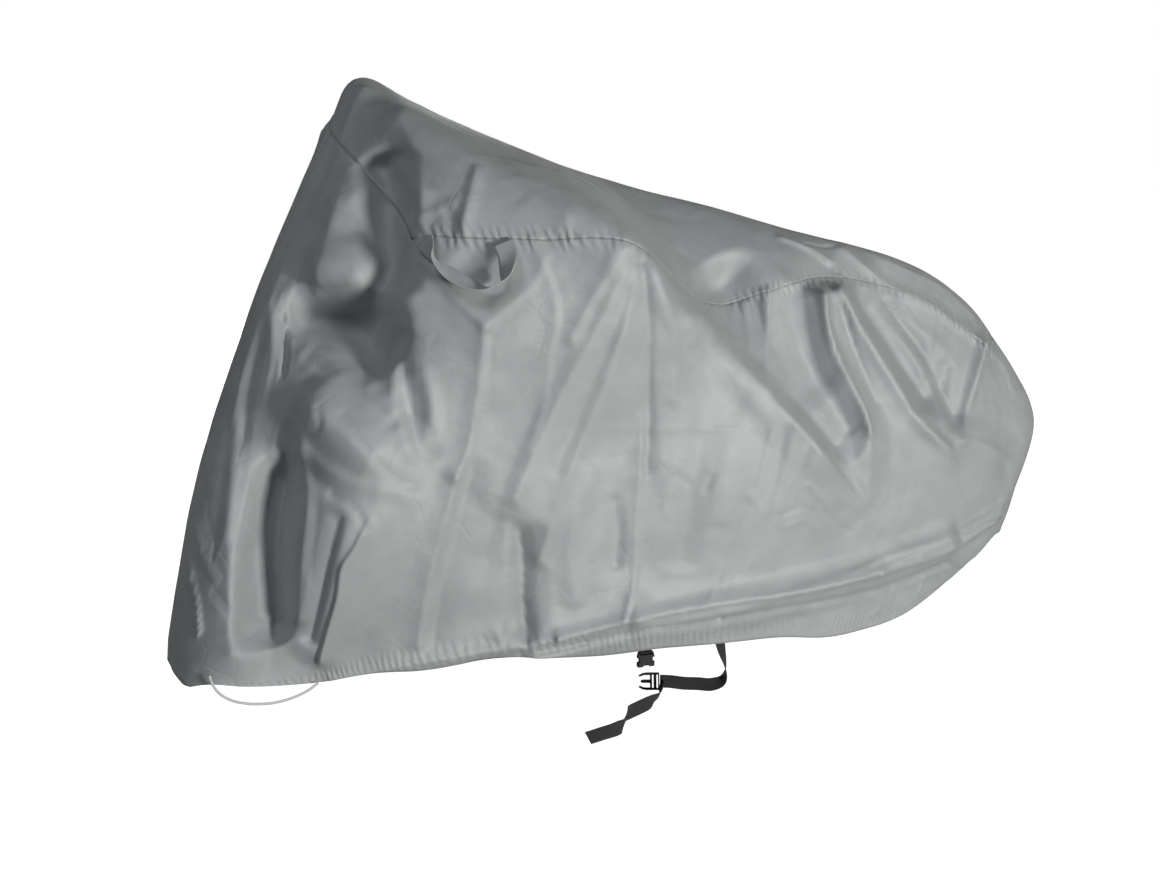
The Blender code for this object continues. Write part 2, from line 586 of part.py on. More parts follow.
def make_socket(frame):
    """The buckle's socket half, hanging mouth down from the short tab."""
    half = BUCKLE_WIDTH / 2
    low = -SOCKET_LENGTH / 2
    high = SOCKET_LENGTH / 2
    outline = ((-half, low), (half, low), (half, 0.006), (0.0145, high), (-0.0145, high), (-half, 0.006))
    socket = extruded("buckle_socket", outline, SOCKET_DEPTH, "black plastic", frame)
    socket.location = SOCKET_AT
    mouth_middle = low + MOUTH_LENGTH / 2 - 0.001
    cut_box(socket, (MOUTH_WIDTH, MOUTH_HEIGHT, MOUTH_LENGTH + 0.002), (0, 0, mouth_middle))
    cut_box(socket, (0.012, SOCKET_DEPTH, 0.010), (0, -SOCKET_DEPTH / 2, low))
    for side in (-1, 1):
        cut_box(socket, (0.008, 2 * SOCKET_DEPTH, 0.009), (side * half, 0, -0.001))
    cut_box(socket, (SLOT_WIDTH, 2 * SOCKET_DEPTH, SLOT_HEIGHT), (0, 0, high - 0.0045))


def make_plug(frame):
    """The buckle's plug half, with two sprung prongs and a middle guide."""
    half = BUCKLE_WIDTH / 2
    one_side = (
        (-PLUG_BACK, half), (-0.003, half), (0.004, half), (0.012, 0.0155), (0.020, 0.0110),
        (0.017, 0.0090), (0.009, 0.0120), (-0.003, 0.0125), (-0.003, 0.0030), (0.013, 0.0030),
    )
    other_side = [(x, -z) for x, z in reversed(one_side)]
    plug = extruded("buckle_plug", (*one_side, (0.016, 0.0), *other_side), PLUG_DEPTH, "black plastic", frame)
    run = Vector(PLUG_RUN).normalized()
    width_way = Vector(PLUG_WIDTH_WAY).normalized()
    turn = Matrix((run, width_way.cross(run), width_way)).transposed().to_4x4()
    plug.matrix_local = Matrix.Translation(PLUG_AT) @ turn
    for behind in (0.0170, 0.0085):
        cut_box(plug, (SLOT_HEIGHT, 2 * PLUG_DEPTH, SLOT_WIDTH), (-behind, 0, 0))


def main():
    """Clear the scene and make the cover around its hold point."""
    for old in list(bpy.data.objects):
        bpy.data.objects.remove(old, do_unlink=True)
    frame = bpy.data.objects.new("frame", None)
    frame.location = -Vector(HOLD_POINT)
    bpy.context.scene.collection.objects.link(frame)
    make_panels(frame)
    make_loops(frame)
    make_cord(frame)
    make_webbing(frame)
    make_socket(frame)
    make_plug(frame)


main()
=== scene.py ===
"""A fitted bicycle cover: coated cloth, loops, webbing strap and buckle, studio light.

Metres, +Z up.  The tables are in ground coordinates: X runs from the front (-X) to
the rear (+X), the near side faces -Y and the ground is Z = 0.  World coordinates are
the ground's, less HOLD_POINT, where a handlebar would carry the cover.  Only the
swells are marked in pixels of the camera's frame, which marked_swell() turns to metres.
"""

from collections import namedtuple
from math import cos, pi, radians, sin

import bmesh
import bpy
import numpy as np
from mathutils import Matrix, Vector, noise


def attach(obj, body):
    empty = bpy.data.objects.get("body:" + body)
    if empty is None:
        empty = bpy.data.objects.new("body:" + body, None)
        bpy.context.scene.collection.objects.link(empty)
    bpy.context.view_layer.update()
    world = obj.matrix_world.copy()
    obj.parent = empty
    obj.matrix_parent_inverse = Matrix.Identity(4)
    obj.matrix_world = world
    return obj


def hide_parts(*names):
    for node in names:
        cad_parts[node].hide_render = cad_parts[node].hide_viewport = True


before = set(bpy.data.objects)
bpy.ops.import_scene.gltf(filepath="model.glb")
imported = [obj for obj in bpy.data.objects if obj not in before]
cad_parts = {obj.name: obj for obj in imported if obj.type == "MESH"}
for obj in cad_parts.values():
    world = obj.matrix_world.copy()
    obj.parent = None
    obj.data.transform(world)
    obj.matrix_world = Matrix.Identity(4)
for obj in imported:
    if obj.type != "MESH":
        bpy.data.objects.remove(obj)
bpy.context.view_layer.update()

# ---------------------------------------------------------------- driving sizes

HOLD_POINT = np.array((-0.10, -0.04, 0.98))
GROUND = -HOLD_POINT[2]
CLOTH = 0.0011                      # thickness of the coated cloth
SEAM_OVERLAP = 0.005                # the skirts run this far up under the cap's edge
SEAM_STEP = 0.0013                  # and lie this far beneath it
CLOTH_REACH = 0.95                  # cloth from the crown to the hem, in the weave's map

SEAM_AT = 0.30                      # where the seam and the waist lie, from crown 0
WAIST_AT = 0.62                     # to hem 1
CAP_FRONT = 6                       # row of the tables at the cap's front edge
CAP_REAR = 15                       # and at its rear edge

Cells = namedtuple("Cells", "nose cap tail half_cap skirt")
NEAR_CELLS = Cells(nose=88, cap=196, tail=36, half_cap=38, skirt=134)
FAR_CELLS = Cells(nose=54, cap=110, tail=24, half_cap=24, skirt=76)
CAP_CELLS = Cells(nose=0, cap=200, tail=0, half_cap=64, skirt=0)

# ------------------------------------------------------------- section tables
# One row per section, from the hem under the nose to the hem under the tail.
# Each point is x, y, z.

NearSection = namedtuple("NearSection", "name crown seam waist hem")
FarSection = namedtuple("FarSection", "name seam_y seam_z waist_y hem_y")

NEAR = [NearSection(*row) for row in (
    ("nose hem", (-0.740, -0.07, 0.13), (-0.740, -0.11, 0.13),
     (-0.73, -0.14, 0.12), (-0.72, -0.16, 0.12)),
    ("nose", (-0.740, -0.07, 0.18), (-0.730, -0.11, 0.17),
     (-0.71, -0.15, 0.15), (-0.68, -0.19, 0.13)),
    ("shin", (-0.715, -0.05, 0.29), (-0.690, -0.12, 0.26),
     (-0.64, -0.17, 0.20), (-0.61, -0.20, 0.12)),
    ("front low", (-0.650, 0.00, 0.51), (-0.610, -0.11, 0.46),
     (-0.55, -0.21, 0.28), (-0.50, -0.19, 0.11)),
    ("front mid", (-0.530, 0.09, 0.76), (-0.500, -0.05, 0.71),
     (-0.48, -0.26, 0.43), (-0.40, -0.20, 0.12)),
    ("front high", (-0.440, 0.15, 0.93), (-0.390, -0.04, 0.83),
     (-0.40, -0.27, 0.53), (-0.30, -0.22, 0.12)),
    ("cap front", (-0.360, 0.19, 1.06), (-0.290, -0.13, 0.89),
     (-0.30, -0.28, 0.56), (-0.19, -0.23, 0.13)),
    ("far peak", (-0.290, 0.22, 1.14), (-0.210, -0.23, 0.90),
     (-0.20, -0.29, 0.55), (-0.07, -0.23, 0.12)),
    ("handlebar", (-0.130, 0.18, 1.08), (-0.100, -0.29, 0.90),
     (-0.07, -0.30, 0.54), (0.04, -0.23, 0.11)),
    ("near grip", (0.060, 0.17, 1.00), (0.050, -0.33, 0.89),
     (0.08, -0.30, 0.53), (0.15, -0.23, 0.11)),
    ("recess", (0.240, 0.14, 0.94), (0.255, -0.18, 0.76), (0.23, -0.29, 0.51), (0.27, -0.22, 0.10)),
    ("frame", (0.390, 0.08, 0.90), (0.395, -0.16, 0.77), (0.38, -0.28, 0.50), (0.41, -0.20, 0.09)),
    ("saddle", (0.560, 0.00, 0.85), (0.550, -0.10, 0.78), (0.55, -0.24, 0.47), (0.53, -0.18, 0.07)),
    ("tail high", (0.770, 0.00, 0.79), (0.730, -0.09, 0.74),
     (0.71, -0.20, 0.46), (0.63, -0.16, 0.07)),
    ("tail mid", (0.890, 0.00, 0.72), (0.850, -0.08, 0.67),
     (0.83, -0.17, 0.43), (0.70, -0.15, 0.08)),
    ("cap rear", (0.980, 0.00, 0.63), (0.940, -0.07, 0.59),
     (0.92, -0.14, 0.37), (0.76, -0.14, 0.10)),
    ("rear", (1.090, -0.01, 0.45), (1.040, -0.07, 0.43), (0.95, -0.12, 0.28), (0.83, -0.12, 0.13)),
    ("rear low", (1.040, -0.03, 0.29), (1.000, -0.08, 0.28),
     (0.94, -0.11, 0.22), (0.88, -0.11, 0.16)),
    ("rear hem", (1.000, -0.05, 0.21), (0.970, -0.08, 0.21),
     (0.94, -0.10, 0.20), (0.91, -0.11, 0.18)),
)]
FAR = [FarSection(*row) for row in (
    ("nose hem", -0.03, 0.13, 0.00, 0.02),
    ("nose", -0.01, 0.18, 0.03, 0.05),
    ("shin", 0.04, 0.27, 0.09, 0.07),
    ("front low", 0.12, 0.47, 0.18, 0.11),
    ("front mid", 0.22, 0.73, 0.24, 0.15),
    ("front high", 0.26, 0.91, 0.26, 0.18),
    ("cap front", 0.28, 1.04, 0.28, 0.20),
    ("far peak", 0.31, 1.08, 0.29, 0.21),
    ("handlebar", 0.28, 0.96, 0.29, 0.21),
    ("near grip", 0.24, 0.85, 0.27, 0.20),
    ("recess", 0.19, 0.81, 0.25, 0.19),
    ("frame", 0.15, 0.80, 0.23, 0.18),
    ("saddle", 0.10, 0.78, 0.21, 0.16),
    ("tail high", 0.09, 0.74, 0.18, 0.15),
    ("tail mid", 0.08, 0.67, 0.15, 0.13),
    ("cap rear", 0.07, 0.59, 0.12, 0.12),
    ("rear", 0.05, 0.43, 0.10, 0.10),
    ("rear low", 0.02, 0.28, 0.06, 0.07),
    ("rear hem", -0.02, 0.21, 0.01, 0.02),
)]
LAST = len(NEAR) - 1

# ---------------------------------------------------------------- fold tables
# A fold is drawn in the plane square to a quarter view of its side: `path` gives
# its points as (across, up).  Drawn downwards, its `left` half width lies towards
# the front; drawn rearwards, `left` is beneath it.  `height` is how far it stands
# out (below zero it is a trough), `edge` is 1 for a sharp crest and 2 for a soft
# swell, and `start` and `end` are the shares of the height at the path's two ends.

Fold = namedtuple("Fold", "name path left right height edge start end")
Quarter = namedtuple("Quarter", "azimuth elevation")

NEAR_QUARTER = Quarter(azimuth=-20, elevation=13)
FAR_QUARTER = Quarter(azimuth=180, elevation=0)

NEAR_FOLDS = [Fold(*row) for row in (
    ("bar ridge",
     ((-0.25, 1.07), (-0.12, 0.98), (0.02, 0.89), (0.14, 0.81)),
     0.08, 0.08, 0.024, 2.0, 0.8, 0.6),
    ("grip ridge", ((0.15, 0.80), (0.22, 0.75), (0.29, 0.69)), 0.08, 0.08, 0.034, 2.0, 0.2, 1.0),
    ("grip ridge fall",
     ((0.29, 0.69), (0.42, 0.55), (0.54, 0.43)),
     0.08, 0.08, 0.034, 2.0, 1.0, 0.3),
    ("recess", ((0.34, 0.75), (0.41, 0.67), (0.49, 0.57)), 0.11, 0.11, -0.075, 2.0, 1.0, 0.4),
    ("front valley",
     ((-0.28, 0.96), (-0.27, 0.86), (-0.26, 0.74)),
     0.07, 0.07, -0.050, 2.0, 1.0, 0.6),
    ("chest lobe", ((-0.40, 0.84), (-0.33, 0.77)), 0.10, 0.10, 0.025, 2.0, 1.0, 1.0),
    ("big dark fold",
     ((-0.42, 0.70), (-0.35, 0.68), (-0.28, 0.62)),
     0.08, 0.08, -0.055, 2.0, 1.0, 0.9),
    ("sag pillow", ((-0.39, 0.51), (-0.26, 0.43)), 0.10, 0.10, 0.032, 2.0, 1.0, 0.7),
    ("grip fan",
     ((0.14, 0.74), (0.10, 0.68), (0.03, 0.52), (-0.05, 0.36)),
     0.09, 0.09, 0.018, 2.0, 0.4, 1.0),
    ("side hollow", ((0.20, 0.58), (0.16, 0.40), (0.16, 0.24)), 0.10, 0.10, -0.012, 2.0, 0.6, 1.0),
    ("lower fold", ((-0.03, 0.29), (-0.04, 0.13)), 0.06, 0.06, -0.020, 2.0, 0.8, 1.0),
    ("shin trough",
     ((-0.45, 0.41), (-0.47, 0.29), (-0.47, 0.14)),
     0.07, 0.07, -0.030, 2.0, 0.7, 1.0),
    ("shin ridge", ((-0.30, 0.34), (-0.35, 0.21), (-0.39, 0.09)), 0.07, 0.07, 0.018, 2.0, 0.6, 1.0),
    ("tuck front",
     ((-0.38, 0.04), (-0.20, 0.07), (0.03, 0.11), (0.18, 0.14)),
     0.06, 0.06, 0.015, 2.0, 0.3, 1.0),
    ("tuck rear",
     ((0.18, 0.14), (0.30, 0.15), (0.50, 0.17), (0.67, 0.20), (0.82, 0.24)),
     0.06, 0.06, 0.018, 2.0, 1.0, 0.5),
    ("rear ridge", ((0.54, 0.74), (0.57, 0.60), (0.63, 0.44)), 0.06, 0.06, 0.022, 2.0, 1.0, 0.3),
    ("rear fan ridge",
     ((0.58, 0.74), (0.69, 0.56), (0.81, 0.45)),
     0.06, 0.06, 0.022, 2.0, 1.0, 0.4),
    ("rear valley", ((0.65, 0.72), (0.75, 0.55)), 0.07, 0.07, -0.045, 2.0, 0.8, 0.8),
)]
FAR_FOLDS = [Fold(*row) for row in (
    ("far grip ridge",
     ((0.29, 1.06), (0.12, 0.78), (-0.12, 0.48)),
     0.10, 0.10, 0.035, 2.0, 1.0, 0.2),
    ("far front ridge",
     ((0.31, 1.03), (0.42, 0.68), (0.50, 0.32)),
     0.08, 0.08, 0.022, 2.0, 1.0, 0.5),
    ("far recess", ((-0.16, 0.80), (-0.34, 0.58)), 0.11, 0.11, -0.030, 2.0, 1.0, 0.4),
    ("far hollow", ((0.17, 0.62), (0.14, 0.30)), 0.10, 0.10, -0.028, 2.0, 0.6, 1.0),
    ("far rear ridge", ((-0.56, 0.78), (-0.66, 0.46)), 0.07, 0.07, 0.022, 2.0, 1.0, 0.3),
    ("far fan ridge", ((-0.62, 0.76), (-0.86, 0.42)), 0.07, 0.07, 0.022, 2.0, 1.0, 0.4),
    ("far tuck",
     ((0.52, 0.20), (0.10, 0.21), (-0.40, 0.20), (-0.78, 0.22)),
     0.06, 0.06, 0.016, 2.0, 0.6, 0.8),
)]

# Swells push the cloth straight towards the near quarter's viewer, or away from it.
# `marks` and the half widths are pixels of the camera's frame, across and down from its
# top left corner.  `depth` is how far the cloth lies in front of the ground's origin,
# along the view.

Swell = namedtuple("Swell", "name marks left right height edge start end depth")
FRAME_MIDDLE = (580, 435)           # pixels
FRAME_FOCUS = 1869.9                # pixels that a metre covers at one metre's distance
VIEWER_AT = (0.0691, 0.4730)        # the viewer's place along the level and upward axes
VIEWER_AWAY = 3.7215                # and in front of the ground's origin
MARK_DIGITS = 3                     # marks are read to the millimetre


def marked_swell(swell):
    """A swell's marks and half widths turned from pixels to metres at its depth."""
    distance = VIEWER_AWAY - swell.depth
    path = tuple(
        (round(VIEWER_AT[0] + (across - FRAME_MIDDLE[0]) * distance / FRAME_FOCUS, MARK_DIGITS),
         round(VIEWER_AT[1] + (FRAME_MIDDLE[1] - down) * distance / FRAME_FOCUS, MARK_DIGITS))
        for across, down in swell.marks
    )
    pixel = distance / FRAME_FOCUS
    return Fold(
        swell.name, path, round(swell.left * pixel, MARK_DIGITS),
        round(swell.right * pixel, MARK_DIGITS), swell.height,
        swell.edge, swell.start, swell.end,
    )


NEAR_SWELLS = [marked_swell(Swell(*row)) for row in (
    ("yoke lip",
     ((388, 95), (408, 140), (418, 190), (417, 235), (402, 290)),
     20, 200, 0.060, 1.0, 0.1, 0.8, 0.45),
    ("bar crest",
     ((398, 98), (470, 152), (560, 196), (635, 243)),
     82, 34, 0.080, 1.1, 0.35, 0.3, 0.45),
    ("grip ridge",
     ((635, 246), (700, 312), (770, 390), (830, 455)),
     150, 9, 0.045, 1.0, 0.1, 0.9, 0.36),
    ("pocket behind the grip",
     ((676, 268), (730, 324), (797, 394), (846, 446)),
     12, 46, -0.045, 1.0, 0.15, 1.0, 0.30),
    ("rear ridge a",
     ((820, 292), (829, 350), (866, 422), (872, 500)),
     18, 26, 0.035, 1.1, 1.0, 0.3, 0.15),
    ("rear ridge b",
     ((838, 290), (862, 332), (902, 392), (955, 462)),
     30, 12, 0.030, 1.0, 1.0, 0.4, 0.05),
    ("rear hollow", ((882, 298), (925, 352), (960, 414)), 14, 60, -0.055, 1.0, 0.7, 0.9, 0.00),
    ("rear ridge c", ((985, 340), (972, 385), (965, 430)), 12, 20, 0.020, 1.0, 1.0, 0.6, -0.10),
    ("ledge under the chest",
     ((308, 312), (345, 318), (385, 322)),
     60, 30, -0.040, 1.5, 0.9, 1.0, 0.35),
    ("tuck overhang",
     ((540, 648), (640, 626), (760, 600), (870, 576), (965, 545)),
     28, 26, 0.040, 1.0, 0.7, 0.8, 0.10),
    ("nose turn", ((238, 470), (234, 560), (238, 650)), 66, 34, 0.050, 1.2, 0.5, 0.9, 0.40),
    ("shoulder edge", ((342, 160), (332, 215), (318, 280)), 24, 58, 0.045, 1.4, 0.4, 0.8, 0.35),
    ("packing crease", ((592, 428), (680, 429), (768, 428)), 6, 5, 0.003, 1.0, 0.6, 0.6, 0.45),
    ("shin trough", ((268, 480), (256, 550), (252, 630)), 22, 40, -0.040, 1.5, 0.7, 1.0, 0.45),
    ("fan valley",
     ((630, 255), (560, 365), (510, 470), (480, 560)),
     60, 40, -0.025, 1.0, 0.4, 0.6, 0.48),
    ("grip crease", ((641, 262), (645, 330), (647, 430)), 30, 12, -0.012, 1.0, 1.0, 0.6, 0.50),
    ("grip streak", ((655, 275), (675, 340), (695, 420)), 20, 30, 0.012, 1.0, 1.0, 0.6, 0.45),
)]

# The smaller folds and creases of the near side.

END_REACH = 0.6                     # a fold dies out over this share of its reach
FACING_FADE = 0.35                  # folds fade out as the cloth turns this near edge-on
SOFT_FOOT = 2.0
SWELL_FOOT = 1.2                    # 1 gives flat flanks, 2 soft feet
CREASE_FOOT = 1.6

NEAR_CREASES = [Fold(*row) for row in (
    ("bar ridge, rear edge",
     ((-0.267, 1.090), (-0.178, 1.046), (-0.051, 0.952), (0.081, 0.858), (0.163, 0.796)),
     0.050, 0.024, 0.008, 1, 0.8, 0.5),
    ("bar ridge, front edge",
     ((-0.291, 1.066), (-0.154, 0.987), (-0.037, 0.907), (0.048, 0.850)),
     0.050, 0.050, 0.008, 1.3, 0.60, 0.90),
    ("bar ridge crease",
     ((0.025, 0.890), (0.054, 0.855), (0.064, 0.816)),
     0.010, 0.012, -0.003, 1.1, 0.5, 1.0),
    ("yoke fold",
     ((-0.170, 0.986), (-0.096, 0.934), (-0.036, 0.885)),
     0.026, 0.026, -0.005, 1.2, 0.4, 0.7),
    ("peak edge",
     ((-0.346, 1.134), (-0.358, 1.097), (-0.373, 1.051), (-0.395, 0.963), (-0.419, 0.889)),
     0.014, 0.045, 0.008, 1.2, 1.0, 0.6),
    ("peak hollow",
     ((-0.366, 0.982), (-0.397, 0.904), (-0.406, 0.849)),
     0.024, 0.024, -0.007, 1.4, 0.6, 1.0),
    ("front valley, bright lip",
     ((-0.258, 0.959), (-0.234, 0.920), (-0.218, 0.886), (-0.221, 0.854), (-0.231, 0.836)),
     0.022, 0.036, 0.018, 1, 0.7, 1.0),
    ("front valley, deep",
     ((-0.291, 0.970), (-0.281, 0.920), (-0.277, 0.857), (-0.256, 0.793), (-0.251, 0.745)),
     0.040, 0.030, -0.008, 1.3, 0.6, 0.9),
    ("lip fold a",
     ((-0.238, 0.921), (-0.200, 0.900), (-0.165, 0.901)),
     0.014, 0.016, 0.005, 1.1, 1.0, 0.4),
    ("lip fold b",
     ((-0.221, 0.852), (-0.164, 0.871), (-0.138, 0.885)),
     0.016, 0.014, 0.005, 1.1, 1.0, 0.4),
    ("cap front ridge",
     ((-0.111, 0.942), (-0.122, 0.889), (-0.137, 0.819)),
     0.016, 0.026, 0.014, 1, 0.8, 0.8),
    ("cap front vee",
     ((-0.168, 0.875), (-0.150, 0.844), (-0.139, 0.817)),
     0.016, 0.014, -0.005, 1.1, 0.7, 1.0),
    ("shoulder lobe",
     ((-0.406, 0.913), (-0.350, 0.901), (-0.318, 0.921)),
     0.060, 0.045, 0.012, 1.5, 1.0, 1.0),
    ("lobe crease",
     ((-0.414, 0.842), (-0.352, 0.837), (-0.309, 0.834), (-0.276, 0.799)),
     0.022, 0.014, -0.008, 1.4, 0.9, 1.0),
    ("chest lobe",
     ((-0.403, 0.774), (-0.350, 0.782), (-0.308, 0.770)),
     0.048, 0.048, 0.012, 1.5, 1.0, 1.0),
    ("chest crest",
     ((-0.425, 0.719), (-0.392, 0.734), (-0.326, 0.734), (-0.282, 0.728)),
     0.012, 0.040, 0.008, 1.4, 1.0, 0.7),
    ("big dark fold",
     ((-0.433, 0.682), (-0.352, 0.652), (-0.264, 0.584)),
     0.062, 0.050, -0.020, 1.5, 0.9, 1.0),
    ("sag crest",
     ((-0.438, 0.651), (-0.388, 0.604), (-0.337, 0.580), (-0.257, 0.516)),
     0.040, 0.024, 0.010, 1.5, 1.0, 0.9),
    ("under sag crest",
     ((-0.413, 0.613), (-0.327, 0.555), (-0.256, 0.499)),
     0.022, 0.036, -0.010, 1.5, 1.0, 0.8),
    ("sag pillow",
     ((-0.407, 0.534), (-0.350, 0.482), (-0.287, 0.439)),
     0.052, 0.052, 0.016, 1.5, 0.9, 0.9),
    ("pillow edge",
     ((-0.444, 0.494), (-0.414, 0.454), (-0.358, 0.406), (-0.301, 0.382), (-0.211, 0.371)),
     0.040, 0.020, 0.010, 1.2, 0.8, 0.6),
    ("under pillow",
     ((-0.419, 0.430), (-0.359, 0.378), (-0.298, 0.358)),
     0.024, 0.040, -0.010, 1.4, 0.7, 0.6),
    ("pillow crease",
     ((-0.339, 0.511), (-0.304, 0.465), (-0.263, 0.415), (-0.206, 0.373)),
     0.016, 0.010, -0.006, 1, 0.7, 0.8),
    ("pillow mark",
     ((-0.385, 0.525), (-0.380, 0.485), (-0.417, 0.471)),
     0.014, 0.014, -0.005, 1.1, 0.8, 0.5),
    ("pocket edge",
     ((-0.258, 0.657), (-0.259, 0.584), (-0.245, 0.516), (-0.226, 0.454)),
     0.040, 0.012, 0.010, 1, 0.6, 0.8),
    ("pocket",
     ((-0.239, 0.642), (-0.235, 0.555), (-0.219, 0.483), (-0.208, 0.437)),
     0.012, 0.042, -0.020, 1.2, 0.7, 1.0),
    ("pocket crumple",
     ((-0.233, 0.513), (-0.201, 0.499), (-0.190, 0.471)),
     0.010, 0.012, -0.005, 1.1, 1.0, 0.6),
    ("pocket right crest",
     ((-0.201, 0.582), (-0.187, 0.516), (-0.200, 0.465), (-0.210, 0.434)),
     0.030, 0.030, 0.012, 1.2, 0.5, 1.0),
    ("long crease",
     ((-0.091, 0.654), (-0.097, 0.596), (-0.104, 0.541), (-0.130, 0.428), (-0.144, 0.398)),
     0.034, 0.009, 0.014, 1, 0.5, 1.0),
    ("long crease, lower",
     ((-0.144, 0.398), (-0.155, 0.353), (-0.168, 0.310), (-0.195, 0.215), (-0.217, 0.100)),
     0.040, 0.009, 0.015, 1, 1.0, 0.9),
    ("long crease valley",
     ((-0.123, 0.412), (-0.139, 0.359), (-0.154, 0.297), (-0.179, 0.207), (-0.199, 0.105)),
     0.008, 0.050, -0.015, 1.1, 0.9, 0.8),
    ("long crease nick",
     ((-0.144, 0.398), (-0.113, 0.412), (-0.095, 0.405)),
     0.008, 0.008, 0.003, 1.1, 1.0, 0.4),
    ("loop vee left",
     ((-0.203, 0.777), (-0.152, 0.714), (-0.091, 0.657)),
     0.014, 0.030, 0.006, 1, 0.6, 1.0),
    ("loop vee right",
     ((0.014, 0.782), (-0.010, 0.732), (-0.054, 0.691), (-0.091, 0.657)),
     0.030, 0.014, 0.006, 1, 0.6, 1.0),
    ("loop hollow", ((-0.121, 0.772), (-0.085, 0.722)), 0.050, 0.050, -0.012, 1.5, 1.0, 0.8),
    ("fine crest",
     ((-0.005, 0.809), (0.007, 0.765), (0.026, 0.713), (0.030, 0.667),
      (0.017, 0.603), (0.008, 0.534), (-0.018, 0.447)),
     0.030, 0.008, 0.006, 1, 0.9, 0.4),
    ("grip fan a",
     ((0.151, 0.789), (0.100, 0.721), (0.055, 0.637)),
     0.030, 0.016, 0.010, 1.1, 0.4, 0.9),
    ("grip fan b",
     ((0.158, 0.785), (0.114, 0.684), (0.057, 0.582), (0.008, 0.482), (-0.045, 0.359)),
     0.044, 0.024, 0.012, 1.0, 0.4, 0.9),
    ("grip fan c",
     ((0.172, 0.781), (0.152, 0.675), (0.104, 0.535), (0.033, 0.358), (-0.003, 0.247)),
     0.034, 0.030, 0.015, 1.1, 0.5, 0.9),
    ("grip fan valley",
     ((0.165, 0.769), (0.131, 0.654), (0.080, 0.534), (0.027, 0.411)),
     0.030, 0.030, -0.010, 1.1, 0.5, 0.8),
    ("under grip crease",
     ((0.173, 0.781), (0.186, 0.706), (0.189, 0.605), (0.191, 0.500), (0.187, 0.410)),
     0.010, 0.030, -0.012, 1, 0.7, 1.0),
    ("under grip crease, low",
     ((0.185, 0.500), (0.180, 0.392), (0.173, 0.305), (0.171, 0.203), (0.150, 0.128)),
     0.034, 0.009, 0.012, 1, 0.8, 0.9),
    ("under grip ridge",
     ((0.193, 0.781), (0.222, 0.708), (0.240, 0.625), (0.234, 0.536)),
     0.026, 0.022, 0.012, 1.2, 0.8, 0.5),
    ("grip ridge line",
     ((0.163, 0.796), (0.220, 0.748), (0.283, 0.696), (0.355, 0.626),
      (0.421, 0.547), (0.480, 0.488), (0.541, 0.433)),
     0.075, 0.026, 0.022, 1, 0.4, 0.7),
    ("grip ridge end",
     ((0.441, 0.523), (0.492, 0.483), (0.537, 0.441)),
     0.030, 0.024, 0.010, 1.1, 0.60, 1.00),
    ("recess pleat a",
     ((0.359, 0.719), (0.358, 0.681), (0.362, 0.642)),
     0.008, 0.008, 0.006, 1.1, 1.0, 0.4),
    ("recess pleat b",
     ((0.383, 0.725), (0.386, 0.683), (0.389, 0.628)),
     0.009, 0.007, 0.012, 1.1, 1.0, 0.4),
    ("recess pleat c",
     ((0.406, 0.733), (0.411, 0.694), (0.416, 0.671)),
     0.007, 0.007, -0.006, 1.1, 1.0, 0.5),
    ("recess press",
     ((0.428, 0.745), (0.427, 0.652), (0.419, 0.560)),
     0.030, 0.008, 0.012, 1, 1.0, 0.8),
    ("recess hollow",
     ((0.298, 0.704), (0.334, 0.664), (0.395, 0.597)),
     0.030, 0.045, -0.008, 1.1, 1.00, 0.50),
    ("behind recess",
     ((0.470, 0.746), (0.486, 0.653), (0.537, 0.555), (0.583, 0.486)),
     0.034, 0.034, -0.017, 1.3, 0.6, 0.9),
    ("rear ridge a",
     ((0.533, 0.740), (0.546, 0.660), (0.572, 0.595), (0.612, 0.515), (0.624, 0.475)),
     0.020, 0.014, 0.020, 1, 1.0, 0.8),
    ("rear ridge a dent",
     ((0.545, 0.693), (0.558, 0.658), (0.553, 0.631)),
     0.007, 0.007, -0.004, 1.1, 1.0, 1.0),
    ("rear valley",
     ((0.568, 0.721), (0.591, 0.655), (0.618, 0.586), (0.639, 0.533)),
     0.012, 0.014, -0.017, 1.1, 1.0, 0.5),
    ("rear ridge b",
     ((0.564, 0.751), (0.610, 0.672), (0.683, 0.564), (0.740, 0.489), (0.804, 0.445)),
     0.022, 0.020, 0.022, 1, 1.0, 0.7),
    ("rear valley b",
     ((0.619, 0.737), (0.665, 0.671), (0.718, 0.597), (0.775, 0.523)),
     0.022, 0.044, -0.027, 1.2, 0.9, 0.8),
    ("rear ridge c",
     ((0.643, 0.766), (0.713, 0.704), (0.764, 0.674), (0.805, 0.643)),
     0.030, 0.024, 0.014, 1.2, 0.8, 0.3),
    ("rear crease d",
     ((0.783, 0.707), (0.772, 0.650), (0.758, 0.606), (0.739, 0.566)),
     0.030, 0.008, 0.006, 1, 0.7, 1.0),
    ("rear crease e",
     ((0.896, 0.657), (0.876, 0.601), (0.849, 0.517), (0.842, 0.463)),
     0.024, 0.016, 0.014, 1, 0.9, 0.9),
    ("rear hollow",
     ((0.807, 0.611), (0.801, 0.551), (0.816, 0.495)),
     0.030, 0.022, -0.015, 1.3, 0.8, 1.0),
    ("tail fan a",
     ((0.896, 0.657), (0.946, 0.616), (0.970, 0.562)),
     0.014, 0.014, 0.005, 1.1, 0.8, 0.6),
    ("tail fan b",
     ((0.845, 0.467), (0.906, 0.447), (0.963, 0.417)),
     0.016, 0.016, 0.006, 1.1, 1.0, 0.6),
    ("seam shoulder",
     ((0.584, 0.844), (0.661, 0.783), (0.753, 0.742), (0.892, 0.663)),
     0.020, 0.026, 0.012, 1, 0.8, 0.8),
    ("seam shoulder, upper",
     ((0.642, 0.837), (0.735, 0.804), (0.822, 0.764), (0.880, 0.713)),
